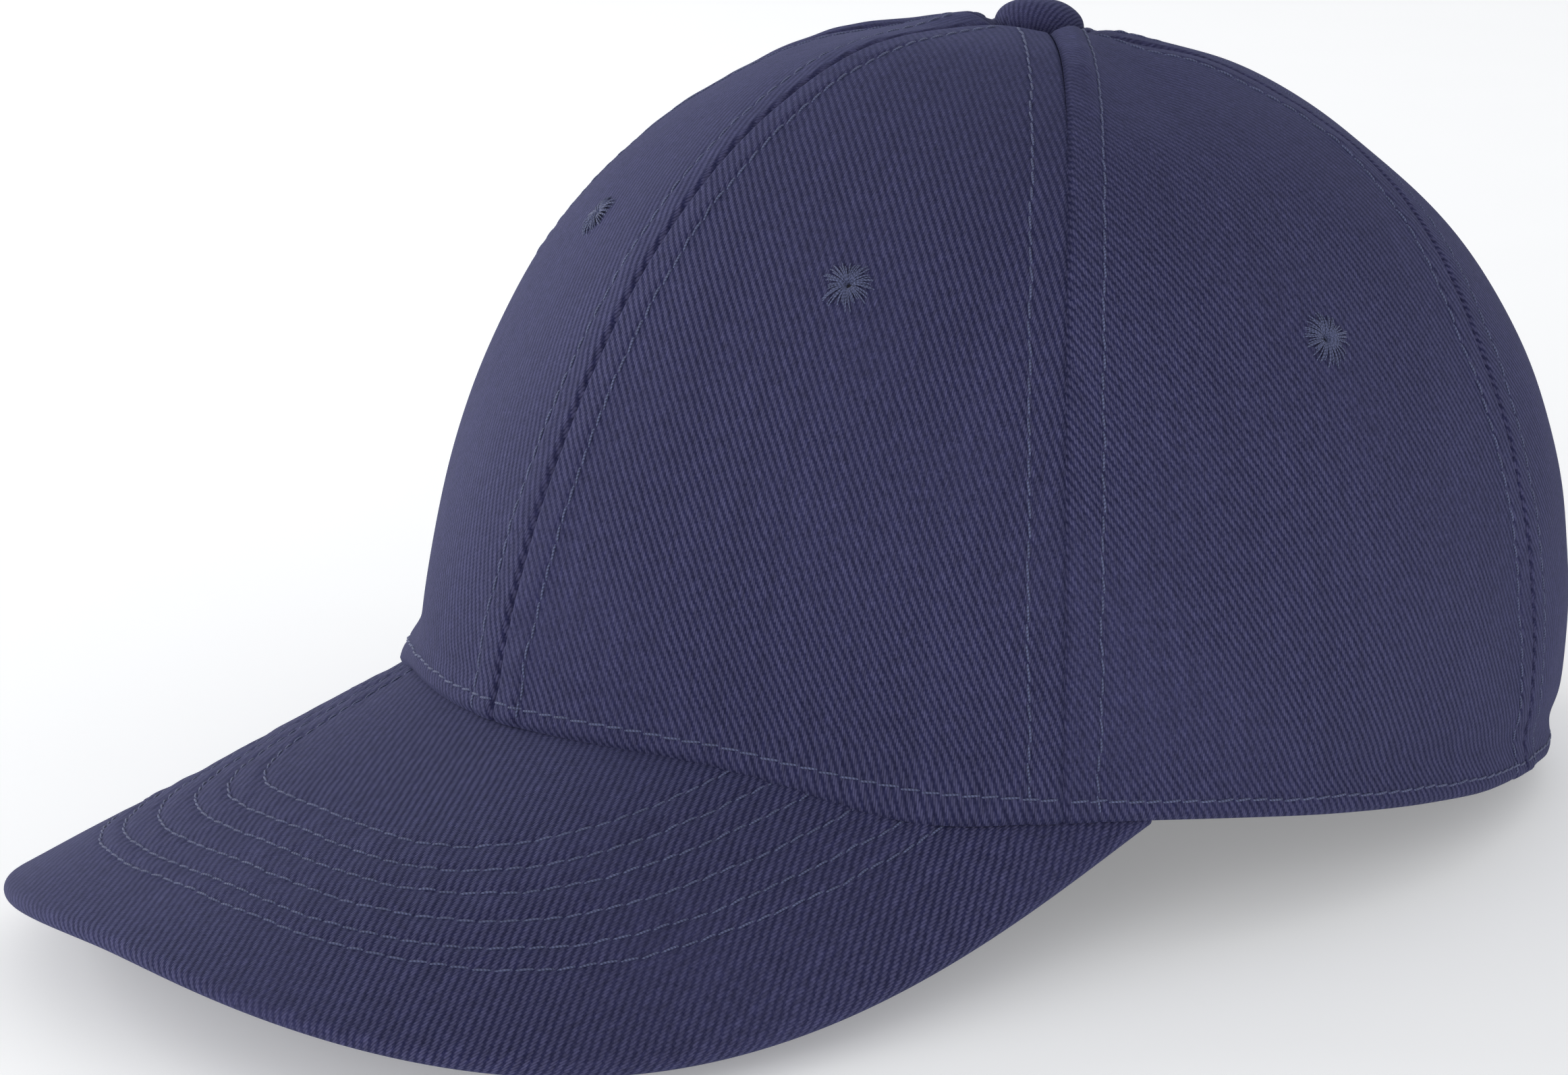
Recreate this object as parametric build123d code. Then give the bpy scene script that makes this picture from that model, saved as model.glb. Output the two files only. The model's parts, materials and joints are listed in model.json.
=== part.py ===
from build123d import *
import os
from math import asin, atan2, copysign, cos, exp, pi, radians, sin, sqrt, tan

os.makedirs("parts", exist_ok=True)

# A six-panel baseball cap with a curved visor and a strap-and-buckle back.
# It is drawn in a hem frame: the hem lies in Z = 0, -Y is the front, +X the wearer's left,
# and the button stands on the Z axis. The last step tips it back onto the table.
# Millimetres and degrees. An angle round the crown is 0 at the front, 90 at the left, 180 behind.

# ---- hem oval
HEM_HALF_WIDTH = 86.5
HEM_HALF_LENGTH = 103.3
HEM_EGG = 0.08               # the oval is this much fuller behind than in front
HEM_NOSE = 1.08              # above 1 the front of the oval is sharper than an ellipse

# ---- crown: radius = cos(t)^FALL * (1 + BULGE sin 2t), height = sin(t)^CLIMB, t from hem to button
CROWN_HEIGHT = 113.5
FALL = (0.79, 0.87, 0.69)    # front, side, back
BULGE = (-0.01, 0.15, -0.03)
CLIMB = (1.16, 0.90, 1.30)
GORE_FLAT = 0.025            # each panel is flatter across its middle than a round crown
SEAM_FRONT = (0.0, 0.0, 0.0)         # angle at the hem, swing half-way up, and a swing back near the top
SEAM_SIDE = (59.0, -3.2, 0.0)
SEAM_BACK = (119.2, -14.0, 6.0)
SEAM_REAR = (180.0, 0.0, 0.0)
SEAM_RETURN_RISE = 0.72      # rise where the swing back is largest, and how far it spreads
SEAM_RETURN_SPAN = 0.2
SEAM_GAP = 0.002             # of a panel's width, left between neighbours
HEM_EASE = 14.0              # angle over which the hem comes down to the visor's corner
HEM_LIFT = 0.7               # the panels' cut edge above the visor
TOP_RISE = 0.982             # where the panels stop round the button's shank

# ---- visor
VISOR_CORNER = 67.3          # hem angle of the visor's two corners
VISOR_REACH = 133.0          # from the corners to the tip, along Y
VISOR_FLARE = 6.0
VISOR_SQUARE_X = 0.78        # below 1 the outline is squarer than an ellipse
VISOR_SQUARE_Y = 0.825
VISOR_ARCH_RADIUS = 140.0
VISOR_ARCH_STEEPEN = 5.0
VISOR_SLOPE = 21.4
VISOR_TUCK = 1.5             # how far the visor runs in under the crown
VISOR_END = 1.5              # angle by which its hem edge stops short of the corners
VISOR_CLOTH = 0.7
VISOR_LAYER_GAP = 0.05
VISOR_BOARD = 1.8
VISOR_HEM = 2.6              # the cloths pass the board's edge by this much

# ---- cloths and linings, as depths inside the crown's outer surface
PANEL_CLOTH = 0.7
BUCKRAM_DEPTH = 0.75
BUCKRAM = 0.5
BUCKRAM_HEM = 3.0            # the stiffener starts this far above the hem
BUCKRAM_TOP_RISE = 0.86
TAPE_DEPTH = 2.0
TAPE = 0.5
TAPE_WIDTH = 18.0
TAPE_TOP_RISE = 0.885        # the side tapes stop here, short of the tack's washer
CENTRE_TAPE_STEP = 0.6       # the centre tape lies this much deeper, under the others
LINING_STEP = 1.5            # the tapes start this far above the sweatband
BAND_TOP = 34.0
BAND_BOTTOM = 1.3
BAND_DEPTH_FRONT = 1.8
BAND_DEPTH_BACK = 5.0        # deeper behind, where the strap runs between panel and band
BAND_DEEPENS = 94.0          # angle where it begins to go deeper, and over how far
BAND_EASE = 34.0
BAND_PADDING = 0.6
BAND_CLOTH = 0.7
BAND_END = 172.0             # angle where the band would end; the rear opening cuts it first
BAND_SET_BACK = 1.5          # the band stops this far from the rear opening
PADDING_SET_BACK = 4.0
PADDING_TOP = BAND_TOP - 2.0
LABEL = 0.4
LABEL_GAP = 0.15
LABEL_HEIGHTS = (9.0, 27.0)
LABEL_ANGLES = (-152.0, -134.0)

# ---- rear opening and strap
ARCH_HALF_WIDTH = 36.0
ARCH_HEIGHT = 44.0
FACING_WIDTH = 8.0
FACING_BOTTOM = 24.0
FACING_CLOTH = 0.6
STRAP_CENTRE_Y = 12.0        # the strap follows a cone about a vertical axis here
STRAP_RADIUS = 88.4          # of its outer face, at the hem
STRAP_LEAN = 0.165           # its radius shrinks by this per unit of height
STRAP_THICKNESS = 1.4
STRAP_BOTTOM = 2.0
STRAP_WIDTH = 19.0
STRAP_ROOT = -40.0           # angles from the back, to the wearer's left
STRAP_TAIL = 27.5
BUCKLE_ANGLE = 9.0
BUCKLE_SPAN = 15.0
TAB_END = 25.5
TAB_WIDTH = 15.0

BUCKLE_SIDE = 0.7            # gap beside the strap
BUCKLE_METAL = 0.8
BUCKLE_CHANNEL = 1.0         # gap under the strap, for the tab
BAR_SPAN = 2.6               # angle the buckle's web runs on past its sides, to the tab's bar
BAR_START = 0.9              # of which the tab's slot takes this much
TAB_CLOTH = 1.0
TAB_GAP = 0.3                # between the strap and the tab
PIN_ALONG = -7.5             # pin's place along the strap from the buckle's middle
PIN_OUT = 1.95
PIN_RADIUS = 0.8
EAR_RADIUS = 2.1
LEVER_RADIUS = 1.6
LEVER_HALF_WIDTH = 9.4
LEVER_REACH = 10.5
LEVER_PLATE = 0.9
LEVER_BOW = 0.35

# ---- eyelets: angle round the crown and height
EYELETS = {
    "front_left": (32.3, 74.6), "front_right": (-27.3, 78.4),
    "side_left": (82.1, 72.5), "side_right": (-82.1, 72.5),
    "back_left": (143.0, 71.0), "back_right": (-143.0, 71.0),
}
EYELET_HOLE = 1.0
EYELET_SLEEVE = 1.6
EYELET_FLANGE = 4.4
EYELET_RELIEF = 0.12         # the flanges stand off the cloth by this much
EYELET_PAD = 0.6             # and rise this high over it

# ---- button
BUTTON_RADIUS = 7.4
BUTTON_HEIGHT = 4.6
BUTTON_SQUARE = 0.8          # below 1 the dome's side is fuller than a circle
BUTTON_TUCK = -35.0          # the dome curls in under itself to this angle
BUTTON_SEAT = 0.15           # above the crown's top
BUTTON_CLOTH = 0.7
BUTTON_METAL = 0.5
BUTTON_GAP = 0.05
SHANK_RADIUS = 1.5
FOOT_RADIUS = 5.0
FOOT = 0.8
WASHER_RADIUS = 6.5
WASHER = 1.0
WASHER_RIM = 1.2

# ---- standing on a table
REST_TILT = 8.44             # the front of the hem rises until visor corners and back hem touch


INSIDE_POINT = Vector(0, 0, 20)


def power(value, exponent):
    """A power that keeps the value's sign."""
    return copysign(abs(value) ** exponent, value)


def around(values, angle):
    """Front, side and back values, joined smoothly round the crown."""
    front, side, back = values
    turn = radians(angle)
    mean = (front + back) / 4 + side / 2
    return mean + (front - back) / 2 * cos(turn) + ((front + back) / 4 - side / 2) * cos(2 * turn)


def hem_plan(angle):
    """Plan position of the hem at an angle round the crown."""
    s, c = sin(radians(angle)), cos(radians(angle))
    nose = HEM_NOSE + (1 - HEM_NOSE) * (1 - c) / 2
    return HEM_HALF_WIDTH * power(s, nose) * (1 - HEM_EGG * c), -HEM_HALF_LENGTH * power(c, nose)


CORNER_X, CORNER_Y = hem_plan(VISOR_CORNER)


def arch_drop(x):
    """How far the visor's arch falls at a distance from its middle."""
    part = x / VISOR_ARCH_RADIUS
    return x * part / 2 * (1 + VISOR_ARCH_STEEPEN / 4 * part ** 2)


def visor_height(x, y):
    """Height of the visor's upper surface, zero at its two corners."""
    return tan(radians(VISOR_SLOPE)) * (y - CORNER_Y) + arch_drop(CORNER_X) - arch_drop(x)


def ease(part):
    """A smooth step from 0 to 1."""
    part = min(max(part, 0.0), 1.0)
    return part * part * (3 - 2 * part)


def hem_height(angle):
    """Height of the crown's edge, which rides up over the visor."""
    return visor_height(*hem_plan(angle)) * ease((VISOR_CORNER - abs(angle)) / HEM_EASE)


def crown_point(angle, rise):
    """Outer surface of the crown; rise runs from 0 at the hem to 1 at the button."""
    turn = rise * pi / 2
    x, y = hem_plan(angle)
    low = hem_height(angle)
    gore = 1 - GORE_FLAT * sin(2 * turn) * sin(radians(3 * angle)) ** 2
    reach = cos(turn) ** around(FALL, angle) * (1 + around(BULGE, angle) * sin(2 * turn)) * gore
    height = low + (CROWN_HEIGHT - low) * sin(turn) ** around(CLIMB, angle)
    return Vector(x * reach, y * reach, height)


def crown_normal(angle, rise):
    """Outward unit normal of the crown."""
    step = 0.02
    low, high = max(rise - 0.002, 0.0), min(rise + 0.002, 1.0)
    along = crown_point(angle + step, rise) - crown_point(angle - step, rise)
    up = crown_point(angle, high) - crown_point(angle, low)
    return along.cross(up).normalized()


def inside(angle, rise, depth):
    """A point this deep inside the crown's outer surface."""
    return crown_point(angle, rise) - crown_normal(angle, rise) * depth


def rise_at(angle, height):
    """The rise at which the crown reaches a height."""
    low = hem_height(angle)
    part = min(max((height - low) / (CROWN_HEIGHT - low), 0.0), 1.0)
    return asin(part ** (1 / around(CLIMB, angle))) * 2 / pi


def seam_angle(seam, rise):
    """Angle of a seam at a rise."""
    at_hem, swing, swing_back = seam
    near_top = exp(-((rise - SEAM_RETURN_RISE) / SEAM_RETURN_SPAN) ** 2)
    return at_hem + swing * sin(pi * rise) + swing_back * near_top


def spread(low, high, count):
    """Evenly spaced values from low to high."""
    return [low + (high - low) * i / (count - 1) for i in range(count)]


def skin(rows, thickness):
    """A sheet through rows of points, thickened towards the crown's inside."""
    face = Face.make_surface_from_array_of_points(rows, tol=0.05, min_deg=3, max_deg=3)
    middle = face.position_at(0.5, 0.5)
    inward = face.normal_at(middle).dot(INSIDE_POINT - middle) > 0
    return Solid.thicken(face, thickness if inward else -thickness)


def panel(first_seam, last_seam, low, high, depth, thickness, trim=SEAM_GAP, columns=15, rows=22):
    """A gore between two seams. low gives the starting rise at an angle; high is a rise."""
    grid = []
    for v in spread(0, 1, rows):
        row = []
        for u in spread(trim, 1 - trim, columns):
            start_angle = first_seam[0] + (last_seam[0] - first_seam[0]) * u
            rise = low(start_angle) + (high - low(start_angle)) * v
            first = seam_angle(first_seam, rise)
            last = seam_angle(last_seam, rise)
            row.append(inside(first + (last - first) * u, rise, depth))
        grid.append(row)
    return skin(grid, thickness)


def from_hem(lift):
    """The rise a given height above the hem, at each angle."""
    return lambda angle: rise_at(angle, hem_height(angle) + lift)


def arch_prism(margin, low=-10.0):
    """The rear opening, grown by a margin, as a block running back through the wall."""
    outline = Ellipse(ARCH_HALF_WIDTH + margin, ARCH_HEIGHT + margin)
    tall = ARCH_HEIGHT + margin
    half = outline & Pos(0, tall / 2) * Rectangle(4 * ARCH_HALF_WIDTH, tall)
    sill = Pos(0, low / 2) * Rectangle(2 * (ARCH_HALF_WIDTH + margin), -low)
    plane = Plane((0, 30, 0), x_dir=(-1, 0, 0), z_dir=(0, 1, 0))
    return extrude(plane * (half + sill), amount=100)


def eyelet_place(name):
    """A plane at an eyelet, its Z along the crown's outward normal."""
    angle, height = EYELETS[name]
    rise = rise_at(angle, height)
    return Plane(crown_point(angle, rise), x_dir=(0, 0, 1), z_dir=crown_normal(angle, rise))


def eyelet_hole(name):
    return eyelet_place(name) * Cylinder(EYELET_SLEEVE + 0.1, 12)


def eyelet(name, wall):
    """An embroidered ring: thread flanges outside and inside, and a sleeve through the wall."""
    back = -wall - EYELET_RELIEF
    profile = Polyline(
        (EYELET_HOLE, EYELET_RELIEF + 0.25), (EYELET_HOLE + 0.5, EYELET_RELIEF + EYELET_PAD),
        (EYELET_FLANGE - 0.8, EYELET_RELIEF + 0.45), (EYELET_FLANGE, EYELET_RELIEF),
        (EYELET_SLEEVE, EYELET_RELIEF), (EYELET_SLEEVE, back), (EYELET_FLANGE - 1.0, back),
        (EYELET_FLANGE - 1.4, back - 0.4), (EYELET_HOLE + 0.2, back - 0.4),
        (EYELET_HOLE, back - 0.2), close=True)
    section = Plane.XZ * make_face(profile)
    return eyelet_place(name) * revolve(section, Axis.Z)


def both_sides(shape):
    """The left-hand shape and its mirror image."""
    return {"left": shape, "right": mirror(shape, about=Plane.YZ)}


def crown_panels():
    """Six gores, each pierced for its eyelet; the rear opening is cut from the back two."""
    spans = {"front": (SEAM_FRONT, SEAM_SIDE), "side": (SEAM_SIDE, SEAM_BACK), "back": (SEAM_BACK, SEAM_REAR)}
    nodes = {}
    for place, (first, last) in spans.items():
        gore = panel(first, last, from_hem(HEM_LIFT), TOP_RISE, 0, PANEL_CLOTH)
        if place == "back":
            gore = gore - arch_prism(0)
        for side, shape in both_sides(gore).items():
            nodes[f"crown_{place}_{side}"] = shape - eyelet_hole(f"{place}_{side}")
    return nodes


def front_buckram():
    """The stiffeners behind the two front panels."""
    stiffener = panel(
        SEAM_FRONT, SEAM_SIDE, from_hem(BUCKRAM_HEM), BUCKRAM_TOP_RISE, BUCKRAM_DEPTH, BUCKRAM, trim=0.02)
    sides = both_sides(stiffener).items()
    return {"buckram_" + side: shape - eyelet_hole("front_" + side) for side, shape in sides}


def side_tape(seam):
    """Binding tape over the inside of one seam, from the sweatband nearly to the button."""
    grid = []
    start = rise_at(seam[0], BAND_TOP + LINING_STEP)
    for rise in spread(start, TAPE_TOP_RISE, 20):
        angle = seam_angle(seam, rise)
        centre = inside(angle, rise, TAPE_DEPTH)
        normal = crown_normal(angle, rise)
        ahead_rise = rise + 0.01
        path = crown_point(seam_angle(seam, ahead_rise), ahead_rise) - crown_point(angle, rise)
        across = path.cross(normal).normalized() * -1
        grid.append([centre + across * (TAPE_WIDTH * (u - 0.5)) for u in spread(0, 1, 4)])
    return skin(grid, TAPE)


def centre_tape():
    """One tape over the front and back centre seams, passing under the button."""
    start = rise_at(0, BAND_TOP + LINING_STEP)
    stop = rise_at(180, ARCH_HEIGHT + FACING_WIDTH + 2.0)
    path = [(0, rise) for rise in spread(start, 0.99, 22)]
    path += [(180, rise) for rise in spread(0.99, stop, 16)]
    grid = []
    for angle, rise in path:
        centre = inside(angle, rise, TAPE_DEPTH + CENTRE_TAPE_STEP)
        grid.append([Vector(TAPE_WIDTH * (u - 0.5), centre.Y, centre.Z) for u in spread(0, 1, 4)])
    return skin(grid, TAPE) - Pos(0, 0, CROWN_HEIGHT) * Cylinder(SHANK_RADIUS + 0.2, 20)


def band_depth(angle):
    """Depth of the sweatband's back: shallow in front, deep behind where the strap slides."""
    deepening = ease((abs(angle) - BAND_DEEPENS) / BAND_EASE)
    return BAND_DEPTH_FRONT + (BAND_DEPTH_BACK - BAND_DEPTH_FRONT) * deepening


def band(extra_depth, thickness, top, set_back):
    """A strip round the inside of the hem, ending this far from the rear opening."""
    grid = []
    for v in spread(0, 1, 7):
        row = []
        for angle in spread(-BAND_END, BAND_END, 87):
            height = hem_height(angle) * (1 - v) + BAND_BOTTOM + (top - BAND_BOTTOM) * v
            row.append(inside(angle, rise_at(angle, height), band_depth(angle) + extra_depth))
        grid.append(row)
    return skin(grid, thickness) - arch_prism(set_back)


def size_label():
    """A blank woven label sewn flat on the sweatband, right of the rear opening."""
    depth = BAND_DEPTH_BACK + 2 * BAND_PADDING + BAND_CLOTH + LABEL_GAP
    grid = []
    for height in spread(*LABEL_HEIGHTS, 5):
        row = [inside(a, rise_at(a, height), depth) for a in spread(*LABEL_ANGLES, 9)]
        grid.append(row)
    return skin(grid, LABEL)


def arch_facing():
    """The folded facing round the inside of the rear opening."""
    grid = []
    for height in spread(FACING_BOTTOM, ARCH_HEIGHT + FACING_WIDTH + 6, 9):
        row = [inside(a, rise_at(a, height), PANEL_CLOTH + 0.05) for a in spread(150, 210, 25)]
        grid.append(row)
    lining = skin(grid, FACING_CLOTH)
    ring = arch_prism(FACING_WIDTH) - arch_prism(0.3)
    return lining & ring


# ---- visor

def visor_layer(top_depth, thickness, edge_inset):
    """One layer of the visor: an arched sheet cut to the visor's outline."""
    slope = radians(VISOR_SLOPE)
    start = Vector(0, -HEM_HALF_LENGTH, visor_height(0, -HEM_HALF_LENGTH))
    plane = Plane(start, x_dir=(1, 0, 0), z_dir=(0, -cos(slope), -sin(slope)))

    def arch(depth):
        points = []
        for x in spread(-CORNER_X - 12, CORNER_X + 12, 25):
            fall = (arch_drop(x + 0.1) - arch_drop(x - 0.1)) / 0.2 * cos(slope)
            tilt = 1 / sqrt(1 + fall * fall)
            points.append((x - depth * fall * tilt, -arch_drop(x) * cos(slope) - depth * tilt))
        return points

    upper = Spline(arch(top_depth))
    lower = Spline(arch(top_depth + thickness))
    sides = [Line(upper @ 0, lower @ 0), Line(upper @ 1, lower @ 1)]
    section = make_face([upper, lower] + sides)
    sheet = extrude(plane * section, amount=100) + extrude(plane * section, amount=-90)
    outline = visor_outline(edge_inset)
    return sheet & extrude(Pos(0, 0, -80) * outline, amount=160)


def visor_edge(sweep, inset):
    """Plan point of the visor's outer edge; sweep runs -90 to 90 from corner to corner."""
    s, c = sin(radians(sweep)), cos(radians(sweep))
    x = CORNER_X * power(s, VISOR_SQUARE_X) + VISOR_FLARE * sin(radians(2 * sweep))
    y = CORNER_Y - VISOR_REACH * abs(c) ** VISOR_SQUARE_Y
    shrink_x = 1 - inset / CORNER_X
    shrink_y = 1 - inset / VISOR_REACH
    return x * shrink_x, CORNER_Y + (y - CORNER_Y) * shrink_y


def visor_outline(inset):
    """Plan outline: the outer edge, and the hem line it is sewn along."""
    outer = Spline([visor_edge(sweep, inset) for sweep in spread(-90, 90, 37)])
    scale = 1 - VISOR_TUCK / HEM_HALF_LENGTH
    hem = []
    end_angle = VISOR_CORNER - VISOR_END - inset
    for angle in spread(end_angle, -end_angle, 31):
        x, y = hem_plan(angle)
        hem.append((x * scale, y * scale))
    inner = Spline(hem)
    return make_face([outer, Line(outer @ 1, inner @ 0), inner, Line(inner @ 1, outer @ 0)])


# ---- button

def dome(radius, height):
    """Half outline of a squashed dome, from its edge to its top."""
    points = []
    low = -sin(radians(BUTTON_TUCK))
    for turn in spread(BUTTON_TUCK, 90, 14):
        t = radians(turn)
        points.append((radius * power(cos(t), BUTTON_SQUARE), height * (low + sin(t)) / (low + 1)))
    return points


def button_layer(radius, height, thickness):
    """A domed shell, open underneath."""
    outer = dome(radius, height)
    inner = dome(radius - thickness, height - thickness)
    ends = [Line(outer[0], inner[0]), Line(outer[-1], inner[-1])]
    section = make_face([Spline(outer), Spline(inner)] + ends)
    return Pos(0, 0, CROWN_HEIGHT + BUTTON_SEAT) * revolve(Plane.XZ * section, Axis.Z)


def disc(top, radius, thickness):
    """A disc on the button's axis, hanging from a height."""
    return Pos(0, 0, top - thickness / 2) * Cylinder(radius, thickness)


def button_pieces():
    """The cloth cover, the metal shell under it, and the tack and washer that fix it."""
    shell_radius = BUTTON_RADIUS - BUTTON_CLOTH - BUTTON_GAP
    shell_height = BUTTON_HEIGHT - BUTTON_CLOTH - BUTTON_GAP
    shank_top = CROWN_HEIGHT + BUTTON_SEAT + shell_height - BUTTON_METAL - BUTTON_GAP
    washer_top = CROWN_HEIGHT - TAPE_DEPTH - CENTRE_TAPE_STEP - TAPE - 0.2
    shank = disc(shank_top, SHANK_RADIUS, shank_top - washer_top + WASHER)
    foot = disc(CROWN_HEIGHT + BUTTON_SEAT + FOOT + 0.2, FOOT_RADIUS, FOOT)
    washer = disc(washer_top, WASHER_RADIUS, WASHER)
    rim = disc(washer_top - WASHER / 2, WASHER_RADIUS - WASHER_RIM, WASHER)
    bore = disc(washer_top + 1, SHANK_RADIUS + 0.02, 4)
    return {
        "button_cover": button_layer(BUTTON_RADIUS, BUTTON_HEIGHT, BUTTON_CLOTH),
        "button_shell": button_layer(shell_radius, shell_height, BUTTON_METAL),
        "button_tack": shank + foot,
        "button_washer": washer + rim - bore,
    }


# ---- strap and buckle

def strap_radius(height, depth):
    """Radius of the strap's cone at a height, this deep inside its outer face."""
    return STRAP_RADIUS - STRAP_LEAN * height - depth


def cone_sector(low, high, outer_depth, inner_depth, from_angle, to_angle):
    """A piece of the strap's cone between two heights, two depths and two angles."""
    corners = [
        (strap_radius(low, outer_depth), low), (strap_radius(high, outer_depth), high),
        (strap_radius(high, inner_depth), high), (strap_radius(low, inner_depth), low)]
    section = Plane.XZ * make_face(Polyline(corners, close=True))
    turned = revolve(section, Axis.Z, revolution_arc=to_angle - from_angle)
    return Pos(0, STRAP_CENTRE_Y, 0) * Rot(0, 0, 90 - to_angle) * turned


def strap():
    top = STRAP_BOTTOM + STRAP_WIDTH
    return cone_sector(STRAP_BOTTOM, top, 0, STRAP_THICKNESS, STRAP_ROOT, STRAP_TAIL)


def buckle_plane(angle):
    """A plane on the strap's outer face: X up the strap, Y towards the left, Z outwards."""
    turn = radians(angle)
    lean = atan2(STRAP_LEAN, 1)
    middle = STRAP_BOTTOM + STRAP_WIDTH / 2
    radius = strap_radius(middle, 0)
    origin = (radius * sin(turn), STRAP_CENTRE_Y + radius * cos(turn), middle)
    out = (sin(turn) * cos(lean), cos(turn) * cos(lean), sin(lean))
    up = (-sin(turn) * sin(lean), -cos(turn) * sin(lean), cos(lean))
    return Plane(origin, x_dir=up, z_dir=out)


def on_pin(radius, length):
    """A cylinder along the lever's pin, in the buckle's plane."""
    return Pos(0, PIN_ALONG, PIN_OUT) * Rot(0, 90, 0) * Cylinder(radius, length)


def buckle_frame():
    """A bent channel round the strap, with two ears for the pin and a bar for the tab."""
    first = BUCKLE_ANGLE - BUCKLE_SPAN / 2
    last = BUCKLE_ANGLE + BUCKLE_SPAN / 2
    low = STRAP_BOTTOM - BUCKLE_SIDE - BUCKLE_METAL
    high = STRAP_BOTTOM + STRAP_WIDTH + BUCKLE_SIDE + BUCKLE_METAL
    under = STRAP_THICKNESS + BUCKLE_CHANNEL
    lip = -0.9
    frame = cone_sector(low, high, under, under + BUCKLE_METAL, first, last + BAR_SPAN)
    for edge in (low, high - BUCKLE_METAL):
        frame = frame + cone_sector(edge, edge + BUCKLE_METAL, lip, under + 0.1, first, last)
    slot = buckle_plane(last + 0.2) * Pos(0, 0, -3) * Box(TAB_WIDTH + 1, 1.9, 8)
    frame = frame - slot
    place = buckle_plane(BUCKLE_ANGLE)
    ear_offset = STRAP_WIDTH / 2 + BUCKLE_SIDE + BUCKLE_METAL / 2
    for side in (-1, 1):
        ear = Pos(side * ear_offset, 0, 0) * on_pin(EAR_RADIUS, BUCKLE_METAL)
        foot = Box(BUCKLE_METAL, 2 * EAR_RADIUS, PIN_OUT + 1.2)
        frame = frame + place * (ear + Pos(side * ear_offset, PIN_ALONG, PIN_OUT / 2 - 0.6) * foot)
    return frame - place * on_pin(PIN_RADIUS, 40)


def buckle_pin():
    length = STRAP_WIDTH + 2 * BUCKLE_SIDE + 2 * BUCKLE_METAL + 0.5
    return buckle_plane(BUCKLE_ANGLE) * on_pin(PIN_RADIUS, length)


def buckle_lever():
    """The clamping lever: a barrel on the pin and a slightly bowed plate over the strap."""
    barrel = on_pin(LEVER_RADIUS, 2 * LEVER_HALF_WIDTH)
    start = (PIN_ALONG, PIN_OUT + LEVER_RADIUS)
    crest = ((PIN_ALONG + LEVER_REACH) / 2, PIN_OUT + LEVER_RADIUS + LEVER_BOW)
    tip = (LEVER_REACH, PIN_OUT - 0.2)
    low_start = (start[0], start[1] - LEVER_PLATE)
    low_crest = (crest[0], crest[1] - LEVER_PLATE)
    low_tip = (tip[0] - 0.3, tip[1] - LEVER_PLATE)
    top = ThreePointArc(start, crest, tip)
    under = ThreePointArc(low_start, low_crest, low_tip)
    section = make_face([top, Line(tip, low_tip), under, Line(low_start, start)])
    plane = Plane((0, 0, 0), x_dir=(0, 1, 0), z_dir=(1, 0, 0))
    plate = extrude(plane * section, amount=LEVER_HALF_WIDTH, both=True)
    bore = on_pin(PIN_RADIUS + 0.05, 40)
    return buckle_plane(BUCKLE_ANGLE) * (barrel + plate - bore)


def buckle_tab():
    """The short cloth tab, folded round the buckle's bar and sewn in beside the opening."""
    low = STRAP_BOTTOM + (STRAP_WIDTH - TAB_WIDTH) / 2
    high = low + TAB_WIDTH
    bar_start = BUCKLE_ANGLE + BUCKLE_SPAN / 2 + BAR_START
    bar_end = BUCKLE_ANGLE + BUCKLE_SPAN / 2 + BAR_SPAN
    top = STRAP_THICKNESS + TAB_GAP
    bar_top = STRAP_THICKNESS + BUCKLE_CHANNEL
    bar_foot = bar_top + BUCKLE_METAL
    loop = cone_sector(low, high, top, bar_foot + 0.7, bar_start - 0.55, bar_end + 0.8)
    bar_room = cone_sector(low - 1, high + 1, bar_top - 0.06, bar_foot + 0.06, bar_start - 0.1, bar_end + 0.15)
    strip = cone_sector(low, high, top, top + TAB_CLOTH, bar_end + 0.5, TAB_END)
    return loop + strip - bar_room


def build():
    """Every node of the cap, in the hem frame."""
    nodes = crown_panels()
    nodes.update(front_buckram())
    for place, seam in (("side", SEAM_SIDE), ("back", SEAM_BACK)):
        for side, shape in both_sides(side_tape(seam)).items():
            nodes[f"seam_tape_{place}_{side}"] = shape
    nodes["seam_tape_centre"] = centre_tape()
    nodes["sweatband_padding"] = band(0, BAND_PADDING, PADDING_TOP, PADDING_SET_BACK)
    nodes["sweatband"] = band(BAND_PADDING + 0.1, BAND_CLOTH, BAND_TOP, BAND_SET_BACK)
    nodes["size_label"] = size_label()
    nodes["arch_facing"] = arch_facing()
    for name in EYELETS:
        wall = BUCKRAM_DEPTH + BUCKRAM if name.startswith("front") else PANEL_CLOTH
        nodes["eyelet_" + name] = eyelet(name, wall)
    board_depth = VISOR_CLOTH + VISOR_LAYER_GAP
    under_depth = board_depth + VISOR_BOARD + VISOR_LAYER_GAP
    nodes["visor_top"] = visor_layer(0, VISOR_CLOTH, 0)
    nodes["visor_board"] = visor_layer(board_depth, VISOR_BOARD, VISOR_HEM)
    nodes["visor_bottom"] = visor_layer(under_depth, VISOR_CLOTH, 0)
    nodes.update(button_pieces())
    nodes["strap"] = strap()
    nodes["buckle_tab"] = buckle_tab()
    nodes["buckle_frame"] = buckle_frame()
    nodes["buckle_pin"] = buckle_pin()
    nodes["buckle_lever"] = buckle_lever()
    return nodes


def solids_of(shape):
    """One solid, or a compound where a node has several."""
    solids = shape.solids()
    if len(solids) == 1:
        return solids[0]
    return Compound(solids)


def stand(nodes):
    """Tip the cap onto visor corners and back hem, with the box's bottom centre at the origin."""
    tipped = {name: Rot(-REST_TILT, 0, 0) * solids_of(shape) for name, shape in nodes.items()}
    box = Compound(list(tipped.values())).bounding_box()
    shift = Pos(0, -(box.min.Y + box.max.Y) / 2, -box.min.Z)
    print("rest shift", shift.position)
    return {name: shift * shape for name, shape in tipped.items()}


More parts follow.
